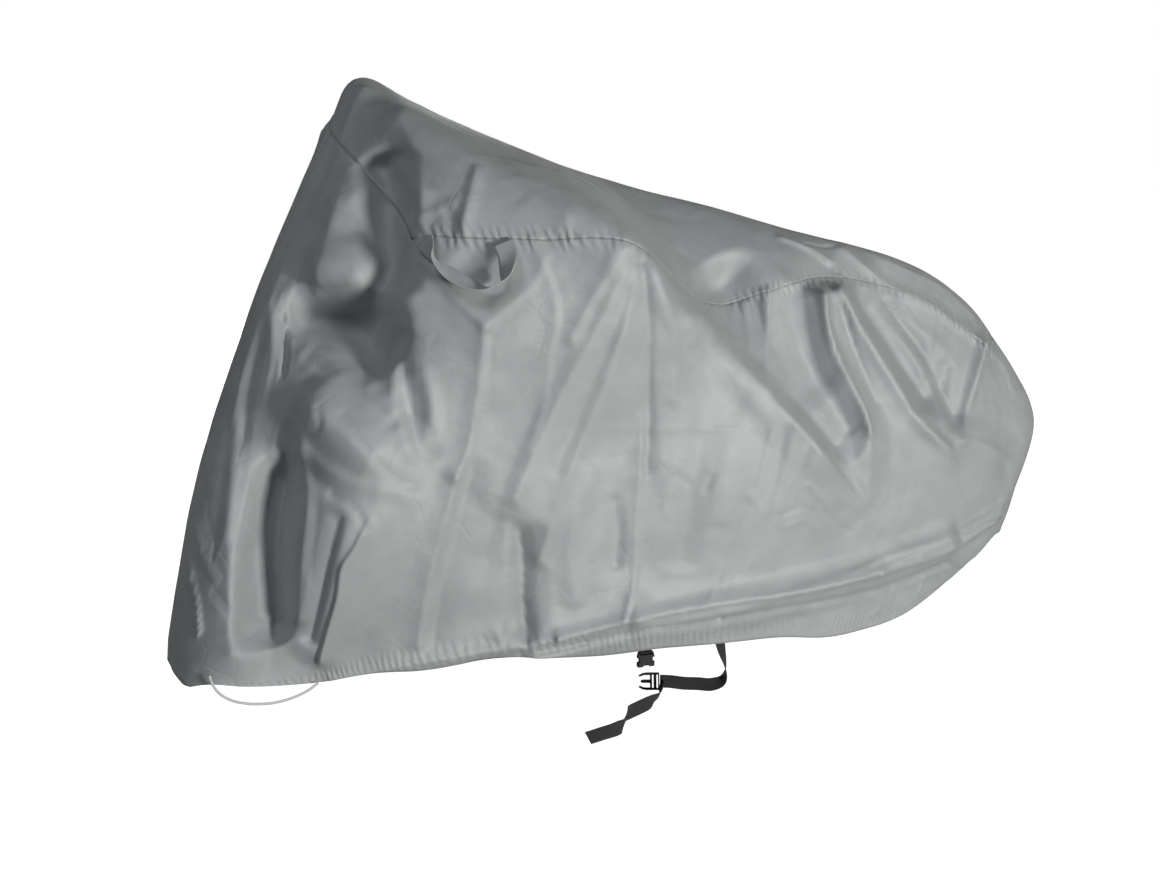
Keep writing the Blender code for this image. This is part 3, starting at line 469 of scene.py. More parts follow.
     0.014, 0.020, 0.005, 1.1, 0.6, 0.8),
    ("saddle fold",
     ((0.463, 0.861), (0.514, 0.840), (0.557, 0.811)),
     0.014, 0.026, 0.014, 1, 0.7, 1.0),
    ("saddle slit",
     ((0.511, 0.848), (0.548, 0.842), (0.589, 0.852)),
     0.008, 0.008, -0.006, 1.1, 0.8, 0.6),
    ("strip left edge",
     ((0.422, 0.482), (0.399, 0.378), (0.356, 0.261), (0.312, 0.163)),
     0.012, 0.010, 0.005, 1, 1.0, 0.8),
    ("strip right edge",
     ((0.443, 0.482), (0.421, 0.361), (0.386, 0.260), (0.355, 0.193)),
     0.007, 0.012, -0.005, 1, 1.0, 0.7),
    ("strip second",
     ((0.468, 0.494), (0.446, 0.389), (0.420, 0.279), (0.380, 0.166)),
     0.014, 0.012, 0.005, 1, 0.9, 0.5),
    ("strip shade",
     ((0.492, 0.464), (0.468, 0.370), (0.441, 0.274)),
     0.012, 0.022, -0.006, 1.1, 1.0, 0.6),
    ("crumple a",
     ((0.438, 0.321), (0.488, 0.335), (0.535, 0.322)),
     0.009, 0.008, -0.005, 1, 1.0, 0.6),
    ("crumple b",
     ((0.477, 0.354), (0.492, 0.381), (0.522, 0.350)),
     0.008, 0.008, 0.005, 1, 1.0, 1.0),
    ("crumple c",
     ((0.518, 0.346), (0.563, 0.302), (0.594, 0.285)),
     0.009, 0.009, -0.006, 1, 1.0, 0.7),
    ("crumple d",
     ((0.455, 0.301), (0.499, 0.311), (0.525, 0.291)),
     0.008, 0.008, 0.005, 1.1, 0.8, 0.8),
    ("crumple e",
     ((0.550, 0.353), (0.592, 0.339), (0.629, 0.308), (0.657, 0.283)),
     0.009, 0.014, 0.006, 1, 0.7, 0.9),
    ("crumple f",
     ((0.589, 0.391), (0.621, 0.354), (0.641, 0.323)),
     0.010, 0.010, -0.005, 1.1, 0.8, 0.6),
    ("crumple g",
     ((0.381, 0.363), (0.406, 0.329), (0.392, 0.299)),
     0.009, 0.009, 0.004, 1.1, 0.8, 0.6),
    ("dimple a", ((0.244, 0.399), (0.266, 0.384)), 0.014, 0.014, -0.005, 1.3, 1.0, 1.0),
    ("dimple b", ((0.311, 0.398), (0.300, 0.372)), 0.012, 0.012, -0.004, 1.3, 1.0, 1.0),
    ("dimple c",
     ((0.237, 0.369), (0.223, 0.343), (0.238, 0.317)),
     0.010, 0.012, 0.004, 1.1, 1.0, 0.6),
    ("mid hollow",
     ((0.267, 0.608), (0.287, 0.482), (0.271, 0.354), (0.255, 0.241)),
     0.050, 0.050, -0.017, 1.4, 0.6, 0.9),
    ("mid ridge",
     ((0.364, 0.501), (0.342, 0.409), (0.329, 0.315)),
     0.030, 0.030, 0.006, 1.4, 0.6, 0.8),
    ("lower fold edge",
     ((-0.060, 0.305), (-0.062, 0.238), (-0.067, 0.166), (-0.073, 0.108)),
     0.034, 0.007, 0.014, 1, 0.8, 1.0),
    ("lower fold",
     ((-0.045, 0.300), (-0.039, 0.229), (-0.040, 0.165), (-0.033, 0.098)),
     0.008, 0.034, -0.029, 1.1, 0.8, 1.0),
    ("trough above",
     ((0.130, 0.356), (0.135, 0.300), (0.132, 0.233)),
     0.024, 0.024, -0.015, 1.3, 0.7, 1.0),
    ("side swell",
     ((0.087, 0.411), (0.051, 0.284), (0.060, 0.171)),
     0.034, 0.034, 0.012, 1.4, 0.8, 0.8),
    ("front slit",
     ((-0.472, 0.694), (-0.461, 0.634), (-0.459, 0.582)),
     0.009, 0.008, -0.024, 1.1, 1.0, 0.7),
    ("front slit edge",
     ((-0.496, 0.719), (-0.483, 0.626), (-0.496, 0.535)),
     0.022, 0.010, 0.006, 1.1, 0.9, 0.5),
    ("shin trough",
     ((-0.444, 0.482), (-0.455, 0.411), (-0.472, 0.289), (-0.473, 0.184), (-0.479, 0.113)),
     0.028, 0.034, -0.026, 1.2, 0.7, 0.9),
    ("shin trough left",
     ((-0.497, 0.359), (-0.513, 0.254), (-0.505, 0.149)),
     0.024, 0.024, -0.015, 1.3, 0.4, 1.0),
    ("shin ridge",
     ((-0.418, 0.444), (-0.406, 0.360), (-0.416, 0.257), (-0.427, 0.150)),
     0.028, 0.022, 0.014, 1.2, 0.7, 0.6),
    ("shin fold edge",
     ((-0.299, 0.317), (-0.320, 0.275), (-0.340, 0.247),
      (-0.351, 0.196), (-0.376, 0.121), (-0.392, 0.072)),
     0.010, 0.036, 0.015, 1, 0.5, 1.0),
    ("shin fold shade",
     ((-0.347, 0.327), (-0.366, 0.258), (-0.385, 0.187), (-0.407, 0.114)),
     0.030, 0.020, -0.017, 1.2, 0.6, 1.0),
    ("shin fold top",
     ((-0.362, 0.371), (-0.316, 0.344), (-0.299, 0.310)),
     0.014, 0.016, -0.006, 1.1, 0.7, 0.8),
    ("nose wrinkle a",
     ((-0.603, 0.378), (-0.580, 0.351), (-0.562, 0.323)),
     0.008, 0.008, -0.004, 1, 0.8, 0.8),
    ("nose wrinkle b",
     ((-0.596, 0.336), (-0.573, 0.288), (-0.576, 0.260)),
     0.009, 0.010, -0.005, 1.1, 1.0, 0.6),
    ("nose wrinkle c",
     ((-0.621, 0.321), (-0.592, 0.252), (-0.567, 0.215)),
     0.012, 0.010, 0.006, 1.1, 0.8, 0.8),
    ("nose wrinkle d",
     ((-0.630, 0.239), (-0.610, 0.181), (-0.603, 0.123)),
     0.012, 0.009, 0.012, 1, 0.6, 1.0),
    ("nose wrinkle e",
     ((-0.574, 0.201), (-0.539, 0.154), (-0.518, 0.115)),
     0.012, 0.012, -0.006, 1.1, 0.8, 0.8),
    ("nose pinch",
     ((-0.662, 0.176), (-0.642, 0.193), (-0.621, 0.233)),
     0.012, 0.010, 0.006, 1, 1.0, 0.6),
    ("front soft fold a",
     ((-0.545, 0.500), (-0.546, 0.394), (-0.553, 0.289)),
     0.020, 0.020, 0.006, 1.3, 0.7, 0.9),
    ("front soft fold b",
     ((-0.507, 0.663), (-0.526, 0.565), (-0.531, 0.464)),
     0.020, 0.020, -0.006, 1.3, 0.7, 0.9),
    ("front edge roll",
     ((-0.445, 0.868), (-0.494, 0.738), (-0.533, 0.627), (-0.554, 0.500)),
     0.018, 0.018, 0.006, 1.2, 0.6, 0.6),
    ("tuck",
     ((-0.375, 0.032), (-0.202, 0.063), (-0.077, 0.082), (0.032, 0.100)),
     0.016, 0.028, 0.015, 1, 0.5, 1.0),
    ("tuck, middle",
     ((0.032, 0.100), (0.180, 0.133), (0.294, 0.152), (0.494, 0.174), (0.663, 0.200)),
     0.014, 0.030, 0.019, 1, 1.0, 1.0),
    ("tuck, rear",
     ((0.663, 0.200), (0.820, 0.240), (0.952, 0.306)),
     0.014, 0.022, 0.014, 1, 1.0, 0.7),
    ("under tuck",
     ((-0.131, 0.056), (0.032, 0.081), (0.180, 0.108), (0.334, 0.126)),
     0.020, 0.012, -0.015, 1.1, 0.7, 1.0),
    ("under tuck, rear",
     ((0.334, 0.126), (0.496, 0.145), (0.667, 0.168), (0.823, 0.214)),
     0.018, 0.012, -0.015, 1.1, 1.0, 0.7),
    ("tuck layer",
     ((0.439, 0.167), (0.534, 0.188), (0.637, 0.221), (0.788, 0.260), (0.925, 0.293)),
     0.014, 0.012, 0.006, 1, 0.5, 1.0),
    ("tuck layer b",
     ((0.593, 0.202), (0.670, 0.234), (0.804, 0.273), (0.958, 0.342)),
     0.014, 0.012, 0.005, 1, 0.4, 0.8),
    ("tuck layer c",
     ((0.294, 0.152), (0.374, 0.136), (0.495, 0.150), (0.622, 0.163)),
     0.009, 0.010, 0.005, 1, 0.6, 0.6),
    ("hem ripple a",
     ((0.088, 0.094), (0.143, 0.104), (0.199, 0.127)),
     0.008, 0.010, 0.005, 1, 0.7, 1.0),
    ("hem gather a",
     ((0.707, 0.220), (0.706, 0.183), (0.698, 0.140)),
     0.009, 0.009, 0.005, 1.1, 0.6, 1.0),
    ("hem gather b",
     ((0.747, 0.231), (0.770, 0.192), (0.762, 0.149)),
     0.009, 0.009, 0.005, 1.1, 0.6, 1.0),
    ("hem gather c",
     ((0.791, 0.208), (0.827, 0.179), (0.819, 0.158)),
     0.008, 0.008, -0.005, 1.1, 1.0, 0.8),
    ("hem gather d",
     ((0.823, 0.219), (0.869, 0.189), (0.855, 0.169)),
     0.008, 0.008, 0.005, 1.1, 1.0, 0.8),
    ("hem gather e",
     ((0.651, 0.152), (0.672, 0.129), (0.652, 0.105)),
     0.010, 0.010, 0.004, 1.1, 0.8, 0.8),
    ("hem roll front",
     ((-0.220, 0.052), (-0.310, 0.024), (-0.380, 0.015)),
     0.010, 0.010, 0.004, 1.1, 0.6, 0.8),
)]

# The far side's creases.  Its plane runs from the rear (left) to the front, as -x, z.

FAR_CREASES = [Fold(*row) for row in (
    ("far grip fan a",
     ((0.16, 0.88), (0.06, 0.66), (-0.04, 0.44)),
     0.050, 0.024, 0.016, 1.0, 0.8, 0.5),
    ("far grip fan b",
     ((0.18, 0.86), (0.16, 0.60), (0.12, 0.34)),
     0.030, 0.050, 0.018, 1.0, 0.7, 0.6),
    ("far grip fan c",
     ((0.21, 0.86), (0.27, 0.62), (0.31, 0.38)),
     0.026, 0.046, 0.016, 1.0, 0.8, 0.5),
    ("far grip valley",
     ((0.12, 0.80), (0.06, 0.56), (0.04, 0.38)),
     0.040, 0.034, -0.012, 1.1, 0.6, 0.8),
    ("far loop hollow",
     ((0.28, 0.86), (0.30, 0.74), (0.30, 0.60)),
     0.036, 0.036, -0.010, 1.4, 1.0, 0.4),
    ("far shoulder",
     ((0.36, 0.94), (0.44, 0.76), (0.51, 0.56)),
     0.030, 0.050, 0.014, 1.1, 0.7, 0.6),
    ("far shin", ((0.53, 0.52), (0.56, 0.34), (0.55, 0.16)), 0.044, 0.040, -0.014, 1.2, 0.6, 0.9),
    ("far front fold",
     ((0.44, 0.46), (0.46, 0.28), (0.42, 0.10)),
     0.012, 0.044, 0.014, 1.0, 0.5, 1.0),
    ("far mid sag",
     ((-0.12, 0.70), (0.02, 0.52), (0.20, 0.42)),
     0.050, 0.030, -0.010, 1.3, 0.8, 0.5),
    ("far mid crease",
     ((-0.16, 0.56), (-0.18, 0.36), (-0.16, 0.14)),
     0.034, 0.012, 0.012, 1.0, 0.6, 0.9),
    ("far lower fold",
     ((0.20, 0.34), (0.22, 0.22), (0.20, 0.10)),
     0.010, 0.036, 0.012, 1.0, 0.4, 1.0),
    ("far saddle fan a",
     ((-0.42, 0.80), (-0.36, 0.60), (-0.26, 0.40)),
     0.022, 0.046, 0.014, 1.0, 0.8, 0.4),
    ("far saddle fan b",
     ((-0.50, 0.80), (-0.56, 0.60), (-0.62, 0.44)),
     0.044, 0.020, 0.016, 1.0, 0.9, 0.4),
    ("far saddle valley",
     ((-0.46, 0.78), (-0.47, 0.60), (-0.46, 0.46)),
     0.030, 0.030, -0.014, 1.1, 1.0, 0.4),
    ("far rear fold",
     ((-0.66, 0.76), (-0.76, 0.60), (-0.82, 0.44)),
     0.040, 0.018, 0.012, 1.0, 0.9, 0.5),
    ("far tail fan",
     ((-0.88, 0.62), (-0.93, 0.52), (-0.94, 0.42)),
     0.018, 0.018, 0.007, 1.1, 0.8, 0.6),
    ("far tuck",
     ((0.36, 0.05), (0.00, 0.11), (-0.40, 0.16), (-0.80, 0.24)),
     0.014, 0.032, 0.014, 1.0, 0.5, 0.9),
    ("far under tuck",
     ((0.30, 0.03), (0.00, 0.08), (-0.40, 0.13), (-0.76, 0.20)),
     0.016, 0.012, -0.009, 1.1, 0.6, 0.9),
)]

# Small uneven swells all over: how many to a metre, and how high.

CRUMPLE_PITCHES = (7.0, 19.0)
CRUMPLE_HEIGHTS = (0.0022, 0.0006)
CRUMPLE_SHIFT = 4.0                 # keeps the small ones out of step with the broad

# ---------------------------------------------------------------- sewn-on parts

LOOP_WIDTH = 0.035
LOOP_THICKNESS = 0.0018
LOOP_STEPS = 61
WEBBING_WIDTH = 0.025
WEBBING = 0.0014
CORD_DIAMETER = 0.005
CORD_STEPS = 60

# A loop hangs from its seam: `share` of the way between its two ends, `drop` down
# the cloth from the seam and `stand` away from it; then the way its width points, as
# parts along the seam, out of the cloth and up.
LoopPoint = namedtuple("LoopPoint", "share drop stand along out up")
LoopEnds = namedtuple("LoopEnds", "side start end sag reach")

LOOP_POINTS = [LoopPoint(*row) for row in (
    (0.00, 0.012, 0.008, 1.0, 0.0, 0.0),
    (0.06, 0.036, 0.013, 0.9, 0.4, -0.1),
    (0.18, 0.062, 0.022, 0.5, 0.7, -0.4),
    (0.36, 0.085, 0.028, 0.2, 0.8, -0.6),
    (0.56, 0.102, 0.032, 0.1, 0.9, -0.5),
    (0.76, 0.106, 0.034, 0.3, 0.9, -0.1),
    (0.92, 0.090, 0.032, 0.6, 0.7, 0.3),
    (1.00, 0.060, 0.025, 0.9, 0.4, 0.1),
    (1.02, 0.034, 0.015, 1.0, 0.1, 0.0),
    (1.00, 0.012, 0.008, 1.0, 0.0, 0.0),
)]
NEAR_LOOP = LoopEnds(side=-1, start=6.25, end=7.45, sag=1.0, reach=1.0)
FAR_LOOP = LoopEnds(side=1, start=6.15, end=5.15, sag=0.6, reach=1.5)

# Webbing routes: x, y, z of the middle, then the way its width points.
WebbingPoint = namedtuple("WebbingPoint", "x y z width_x width_y width_z")

TAB = [WebbingPoint(*row) for row in (
    (0.125, -0.2215, 0.136, 1.0, 0.1, 0.0),
    (0.125, -0.2215, 0.120, 1.0, 0.1, 0.0),
    (0.125, -0.2215, 0.1045, 1.0, 0.1, 0.0),
)]
STRAP = [WebbingPoint(*row) for row in (
    (0.284, -0.209, 0.126, 1.00, 0.25, 0.00),
    (0.284, -0.209, 0.104, 1.00, 0.35, 0.00),
    (0.288, -0.211, 0.082, 0.90, 0.60, 0.00),
    (0.293, -0.214, 0.060, 0.60, 0.85, 0.05),
    (0.294, -0.217, 0.040, 0.30, 0.90, 0.20),
    (0.287, -0.216, 0.023, 0.05, 0.85, 0.45),
    (0.270, -0.208, 0.0145, -0.05, 0.60, 0.80),
    (0.246, -0.193, 0.0135, 0.00, 0.35, 0.94),
    (0.220, -0.180, 0.0133, 0.00, 0.25, 0.97),
    (0.198, -0.1704, 0.0160, 0.14, 0.42, 0.90),
    (0.1790, -0.1636, 0.0168, 0.17, 0.47, 0.87),
)]
TAIL = [WebbingPoint(*row) for row in (
    (0.1742, -0.1790, 0.0210, 0.17, 0.47, 0.87),
    (0.1715, -0.1900, 0.0155, 0.35, 0.25, 0.90),
    (0.1630, -0.2070, 0.0130, 0.45, 0.10, 0.89),
    (0.148, -0.228, 0.0125, 0.50, -0.20, 0.84),
    (0.122, -0.251, 0.0125, 0.35, 0.40, 0.85),
    (0.092, -0.269, 0.0120, 0.20, 0.60, 0.78),
    (0.066, -0.287, 0.0125, 0.30, 0.45, 0.84),
    (0.048, -0.311, 0.0128, 0.45, -0.10, 0.89),
    (0.036, -0.338, 0.0126, 0.40, 0.10, 0.90),
    (0.014, -0.353, 0.0120, 0.10, 0.60, 0.79),
    (-0.016, -0.362, 0.0110, 0.05, 0.70, 0.71),
    (-0.046, -0.371, 0.0100, 0.05, 0.75, 0.66),
)]
CORD = (
    (-0.6900, -0.1995, 0.150),
    (-0.6860, -0.2040, 0.136),
    (-0.6760, -0.2080, 0.120),
    (-0.6580, -0.2110, 0.106),
    (-0.6340, -0.2130, 0.097),
    (-0.6050, -0.2140, 0.092),
    (-0.5750, -0.2130, 0.091),
    (-0.5450, -0.2100, 0.095),
    (-0.5180, -0.2060, 0.103),
    (-0.4980, -0.2010, 0.113),
)

# ------------------------------------------------------------- camera and light

CAMERA_TARGET = Vector((0.0735, 0.0, 0.4798)) - Vector(HOLD_POINT)
CAMERA_AWAY = 3.638
CAMERA_LENS = 58.03

Softbox = namedtuple("Softbox", "name azimuth elevation away size energy colour")
SOFTBOXES = [Softbox(*row) for row in (
    ("key light", 16, 2, 3.9, 0.7, 136.0, (1.0, 0.99, 0.975)),
    ("front fill", -48, 50, 4.2, 1.4, 38.0, (0.97, 0.98, 1.0)),
    ("far fill", 172, 8, 4.5, 1.6, 120.0, (0.95, 0.98, 1.0)),
)]
ROOM_AS_SEEN = 1.0
ROOM_AS_LIGHT = 0.045
FLOOR_REACH = 400.0
FLOOR_BELOW = 0.001                 # the floor lies this far under the ground
FLOOR_GLOW = 0.985


def quarter_axes(quarter):
    """Level axis, upward axis and direction to the viewer of a quarter view."""
    a, e = radians(quarter.azimuth), radians(quarter.elevation)
    level = np.array((cos(a), sin(a), 0.0))
    toward = np.array((sin(a) * cos(e), -cos(a) * cos(e), sin(e)))
    return level, np.cross(toward, level), toward


def add_object(name, data):
    """An object of this data, put in the scene."""
    made = bpy.data.objects.new(name, data)
    bpy.context.scene.collection.objects.link(made)
    return made


def aim(thing, quarter, away):
    """Stand it off the cover's middle in the quarter's direction and face it there."""
    back = Vector(quarter_axes(quarter)[2])
    thing.location = CAMERA_TARGET + back * away
    thing.rotation_euler = back.to_track_quat("Z", "Y").to_euler()


def make_camera():
    """The camera looks at the near side from the quarter view."""
    data = bpy.data.cameras.new("camera")
    data.lens = CAMERA_LENS
    camera = add_object("camera", data)
    aim(camera, NEAR_QUARTER, CAMERA_AWAY)
    bpy.context.scene.camera = camera


def make_lights():
    """Softboxes round the cover, each aimed at its middle."""
    for box in SOFTBOXES:
        data = bpy.data.lights.new(box.name, "AREA")
        data.shape = "DISK"
        data.size = box.size
        data.energy = box.energy
        data.color = box.colour
        aim(add_object(box.name, data), box, box.away)


def make_world():
    """A plain pale room: bright where the camera sees it, dimmer as a light."""
    world = bpy.data.worlds.new("studio")
    world.use_nodes = True
    nodes, links = world.node_tree.nodes, world.node_tree.links
    background = nodes["Background"]
    path = nodes.new("ShaderNodeLightPath")
    strength = nodes.new("ShaderNodeMapRange")
    strength.inputs["To Min"].default_value = ROOM_AS_LIGHT
    strength.inputs["To Max"].default_value = ROOM_AS_SEEN
    links.new(path.outputs["Is Camera Ray"], strength.inputs["Value"])
    links.new(strength.outputs["Result"], background.inputs["Strength"])
    background.inputs["Color"].default_value = (1.0, 1.0, 1.0, 1.0)
    bpy.context.scene.world = world
    bpy.context.scene.view_settings.view_transform = "Standard"


def make_floor():
    """A pale floor, wide enough to fill every view."""
    sheet = bmesh.new()
    bmesh.ops.create_circle(sheet, cap_ends=True, radius=FLOOR_REACH, segments=96)
    bmesh.ops.translate(sheet, verts=sheet.verts, vec=(0, 0, GROUND - FLOOR_BELOW))
    mesh_object("floor", sheet, floor_paint())


# ------------------------------------------------------------------- shader kit


MIX_FIRST, MIX_SECOND, MIX_RESULT = 6, 7, 2     # a Mix node's colour sockets

Bump = namedtuple("Bump", "height distance strength")
SATIN_SPECULAR = 0.3


class Shade:
    """A socket in a material's tree, with sums that add their Math nodes."""

    def __init__(self, tree, socket=None):
        self.tree = tree
        self.socket = socket

    def node(self, kind, sockets=None, settings=None, out=0):
        """Any node: its settings first, then its sockets."""
        made = self.tree.nodes.new(kind)
        for name, value in (settings or {}).items():
            setattr(made, name, value)
        for name, value in (sockets or {}).items():
            if isinstance(value, Shade):
                self.tree.links.new(value.socket, made.inputs[name])
            else:
                made.inputs[name].default_value = value
        return Shade(self.tree, made.outputs[out])

    def maths(self, operation, *values):
        """A Math node of this operation on these values."""
        return self.node("ShaderNodeMath", dict(enumerate(values)), {"operation": operation})

    def __add__(self, other):
        return self.maths("ADD", self, other)

    def __radd__(self, other):
        return self.maths("ADD", other, self)

    def __sub__(self, other):
        return self.maths("SUBTRACT", self, other)

    def __rsub__(self, other):
        return self.maths("SUBTRACT", other, self)

    def __mul__(self, other):
        return self.maths("MULTIPLY", self, other)

    def __rmul__(self, other):
        return self.maths("MULTIPLY", other, self)

    def sine(self):
        """The sine of this value."""
        return self.maths("SINE", self)

    def absolute(self):
        """This value without its sign."""
        return self.maths("ABSOLUTE", self)

    def parts(self):
        """The first two parts of this vector."""
        first = self.node("ShaderNodeSeparateXYZ", {"Vector": self})
        return first, Shade(self.tree, first.socket.node.outputs["Y"])

    def clamped(self, low, high):
        """0 at `low`, 1 at `high`, eased between them."""
        return self.node(
            "ShaderNodeMapRange",
            {"Value": self, "From Min": low, "From Max": high},
            {"interpolation_type": "SMOOTHSTEP"},
        )

    def mixed(self, low, high):
        """A colour between two, by this value."""
        return self.node(
            "ShaderNodeMix",
            {"Factor": self, MIX_FIRST: (*low, 1.0), MIX_SECOND: (*high, 1.0)},
            {"data_type": "RGBA"},
            out=MIX_RESULT,
        )


def new_material(name, roughness, metallic=0.0, sheen=0.0, specular=SATIN_SPECULAR):
    """A Principled material with its constant sockets set; its tree and shader."""
    made = bpy.data.materials.new(name)
    made.use_nodes = True
    shader = made.node_tree.nodes["Principled BSDF"]
    shader.inputs["Roughness"].default_value = roughness
    shader.inputs["Metallic"].default_value = metallic
    shader.inputs["Sheen Weight"].default_value = sheen
    shader.inputs["Specular IOR Level"].default_value = specular
    return made, Shade(made.node_tree), shader


def feed(shade, shader, **values):
    """Link varying values to the shader's sockets: colour, roughness or bumps."""
    links = shade.tree.links
    if "colour" in values:
        links.new(values["colour"].socket, shader.inputs["Base Color"])
    if "roughness" in values:
        links.new(values["roughness"].socket, shader.inputs["Roughness"])
    normal = None
    for bump in values.get("bumps", ()):
        sockets = {"Height": bump.height, "Distance": bump.distance, "Strength": bump.strength}
        if normal is not None:
            sockets["Normal"] = normal
        normal = shade.node("ShaderNodeBump", sockets)
    if normal is not None:
        links.new(normal.socket, shader.inputs["Normal"])


# -------------------------------------------------------------------- materials

CLOTH_LIGHT = (0.360, 0.382, 0.386)
CLOTH_DARK = (0.300, 0.320, 0.324)
CLOTH_ROUGHNESS = 0.60
CLOTH_METALLIC = 0.06
CLOTH_SHEEN = 0.12
ROUGHNESS_SPREAD = 0.12             # the rubbing changes the roughness by this much
WEAVE_PITCH = 0.0008                # one thread, m
HEM_TURN = 0.022                    # the hem's casing is stitched this far up
PUCKER_PITCH = 0.017                # one gather beside a stitched line, m
PUCKER_REACH = 0.030
PUCKER_WANDER = 1.4                 # gathers wander by this many pitches
STITCH_PITCH = 0.0045
STITCH_RISE, STITCH_SINK = 0.25, 0.35
CAP_EDGE_FADE = 0.02
RIB_PITCH = 0.0016                  # the webbing's
BRAID_PITCH = 0.0012                # the elastic's


def coated_cloth():
    """Silver-grey coated cloth: fine weave, satin coat, faint crumple and rubbing."""
    made, shade, shader = new_material("coated cloth", CLOTH_ROUGHNESS, CLOTH_METALLIC, CLOTH_SHEEN)
    place = shade.node("ShaderNodeTexCoord", out="Object")
    on_cloth = shade.node("ShaderNodeUVMap", settings={"uv_map": "cloth"})
    broad = shade.node("ShaderNodeTexNoise", {"Vector": place, "Scale": 3.0, "Detail": 2.0})
    patchy = shade.node("ShaderNodeTexNoise", {"Vector": place, "Scale": 22.0, "Detail": 3.0})
    long_threads = stretched(shade, on_cloth, 40.0, 900.0)
    threads = shade.node("ShaderNodeTexNoise", {"Vector": long_threads, "Scale": 1.0})
    tone = (broad * 0.5 + patchy * 0.3 + threads * 0.2).clamped(0.36, 0.64)
    colour = tone.mixed(CLOTH_DARK, CLOTH_LIGHT)
    roughness = patchy * ROUGHNESS_SPREAD + (CLOTH_ROUGHNESS - ROUGHNESS_SPREAD / 2)
    crumple = shade.node(
        "ShaderNodeTexNoise", {"Vector": place, "Scale": 16.0, "Detail": 3.0, "Distortion": 0.6}
    )
    facets = shade.node(
        "ShaderNodeTexVoronoi",
        {"Vector": warped(shade, place, 9.0, 0.05), "Scale": 11.0},
        {"feature": "DISTANCE_TO_EDGE"},
    ).clamped(0.0, 0.06)
    creased = shade.node("ShaderNodeTexNoise", {"Vector": place, "Scale": 6.0}).clamped(0.46, 0.62)
    hard = ridged(shade, warped(shade, place, 4.0, 0.06), 5.5)
    drawn = ridged(shade, stretched(shade, on_cloth, 9.0, 2.2), 1.0)
    weave = weave_height(on_cloth, WEAVE_PITCH)
    seam = seam_pucker(on_cloth, patchy, CLOTH_REACH * SEAM_AT) * beside_cap(on_cloth)
    hem = seam_pucker(on_cloth, patchy, CLOTH_REACH - HEM_TURN)
    feed(shade, shader, colour=colour, roughness=roughness, bumps=(
        Bump(crumple, distance=0.004, strength=0.25),
        Bump(hard * creased, distance=0.006, strength=0.35),
        Bump(drawn * patchy, distance=0.006, strength=0.35),
        Bump(facets * creased, distance=0.0008, strength=0.5),
        Bump(seam, distance=0.004, strength=0.5),
        Bump(hem, distance=0.003, strength=0.4),
        Bump(weave, distance=0.00008, strength=0.5),
    ))
    return made


def seam_pucker(on_cloth, patchy, line):
    """Gathers that die away from a stitched line, with the stitches drawn in along it."""
    along, down = on_cloth.parts()
    away = (down.absolute() - line).absolute()
    wander = patchy * (PUCKER_WANDER * PUCKER_PITCH) + along
    gathers = (wander * (2 * pi / PUCKER_PITCH)).sine()
    near = 1.0 - away.clamped(0.0, PUCKER_REACH)
    stitches = (along * (2 * pi / STITCH_PITCH)).sine().clamped(-0.4, 0.4)
    on_line = 1.0 - away.clamped(0.0004, 0.0014)
    return gathers * near * patchy + on_line * stitches * STITCH_RISE - on_line * STITCH_SINK


def beside_cap(on_cloth):
    """1 between the cap's front and rear edges, 0 past them."""
    along = on_cloth.parts()[0]
    front, rear = metres_along(np.array((CAP_FRONT, CAP_REAR), float))
    behind_front = along.clamped(front, front + CAP_EDGE_FADE)
    return behind_front * (1.0 - along.clamped(rear - CAP_EDGE_FADE, rear))


def ridged(shade, vector, scale):
    """Noise folded over at its middle, so that it runs in sharp creases."""
    folded = shade.node("ShaderNodeTexNoise", {"Vector": vector, "Scale": scale, "Detail": 2.0})
    return 1.0 - (folded * 2.0 - 1.0).absolute()


def stretched(shade, vector, across, along):
    """Coordinates scaled apart, so that noise on them draws threads."""
    return shade.node(
        "ShaderNodeVectorMath", {0: vector, 1: (across, along, 1.0)}, {"operation": "MULTIPLY"}
    )


def warped(shade, vector, scale, amount):
    """Coordinates pushed about by noise, so that a cell pattern loses its regularity."""
    push = shade.node("ShaderNodeTexNoise", {"Vector": vector, "Scale": scale}, out="Color")
    pushed = shade.node(
        "ShaderNodeVectorMath", {0: push, 1: (amount, amount, amount)}, {"operation": "MULTIPLY"}
    )
    return shade.node("ShaderNodeVectorMath", {0: vector, 1: pushed}, {"operation": "ADD"})


def weave_height(vector, pitch):
    """A plain weave's height: warp and weft threads that pass over each other."""
    along, across = vector.parts()
    return (along * (pi / pitch)).sine() * (across * (pi / pitch)).sine()


def floor_paint():
    """Plain pale floor: pale where it is seen, duller in the light that it throws back."""
    made, shade, shader = new_material("floor paint", 0.9, specular=0.0)
    shader.inputs["Base Color"].default_value = (0.50, 0.50, 0.50, 1.0)
    shader.inputs["Emission Strength"].default_value = 1.0
    seen = shade.node("ShaderNodeLightPath").mixed((0.0, 0.0, 0.0), (FLOOR_GLOW,) * 3)
    made.node_tree.links.new(seen.socket, shader.inputs["Emission Color"])
    return made


def webbing_weave():
    """Black polypropylene webbing with a ribbed weave."""
    made, shade, shader = new_material("webbing weave", 0.62, sheen=0.15)
    on_strip = shade.node("ShaderNodeUVMap", settings={"uv_map": "cloth"})
    ribs = weave_height(on_strip, RIB_PITCH)
    threads = stretched(shade, on_strip, 900.0, 120.0)
    flecks = shade.node("ShaderNodeTexNoise", {"Vector": threads, "Scale": 1.0})
    colour = flecks.mixed((0.008, 0.008, 0.009), (0.030, 0.030, 0.032))
    feed(shade, shader, colour=colour, bumps=(Bump(ribs, distance=0.0003, strength=0.7),))
    return made


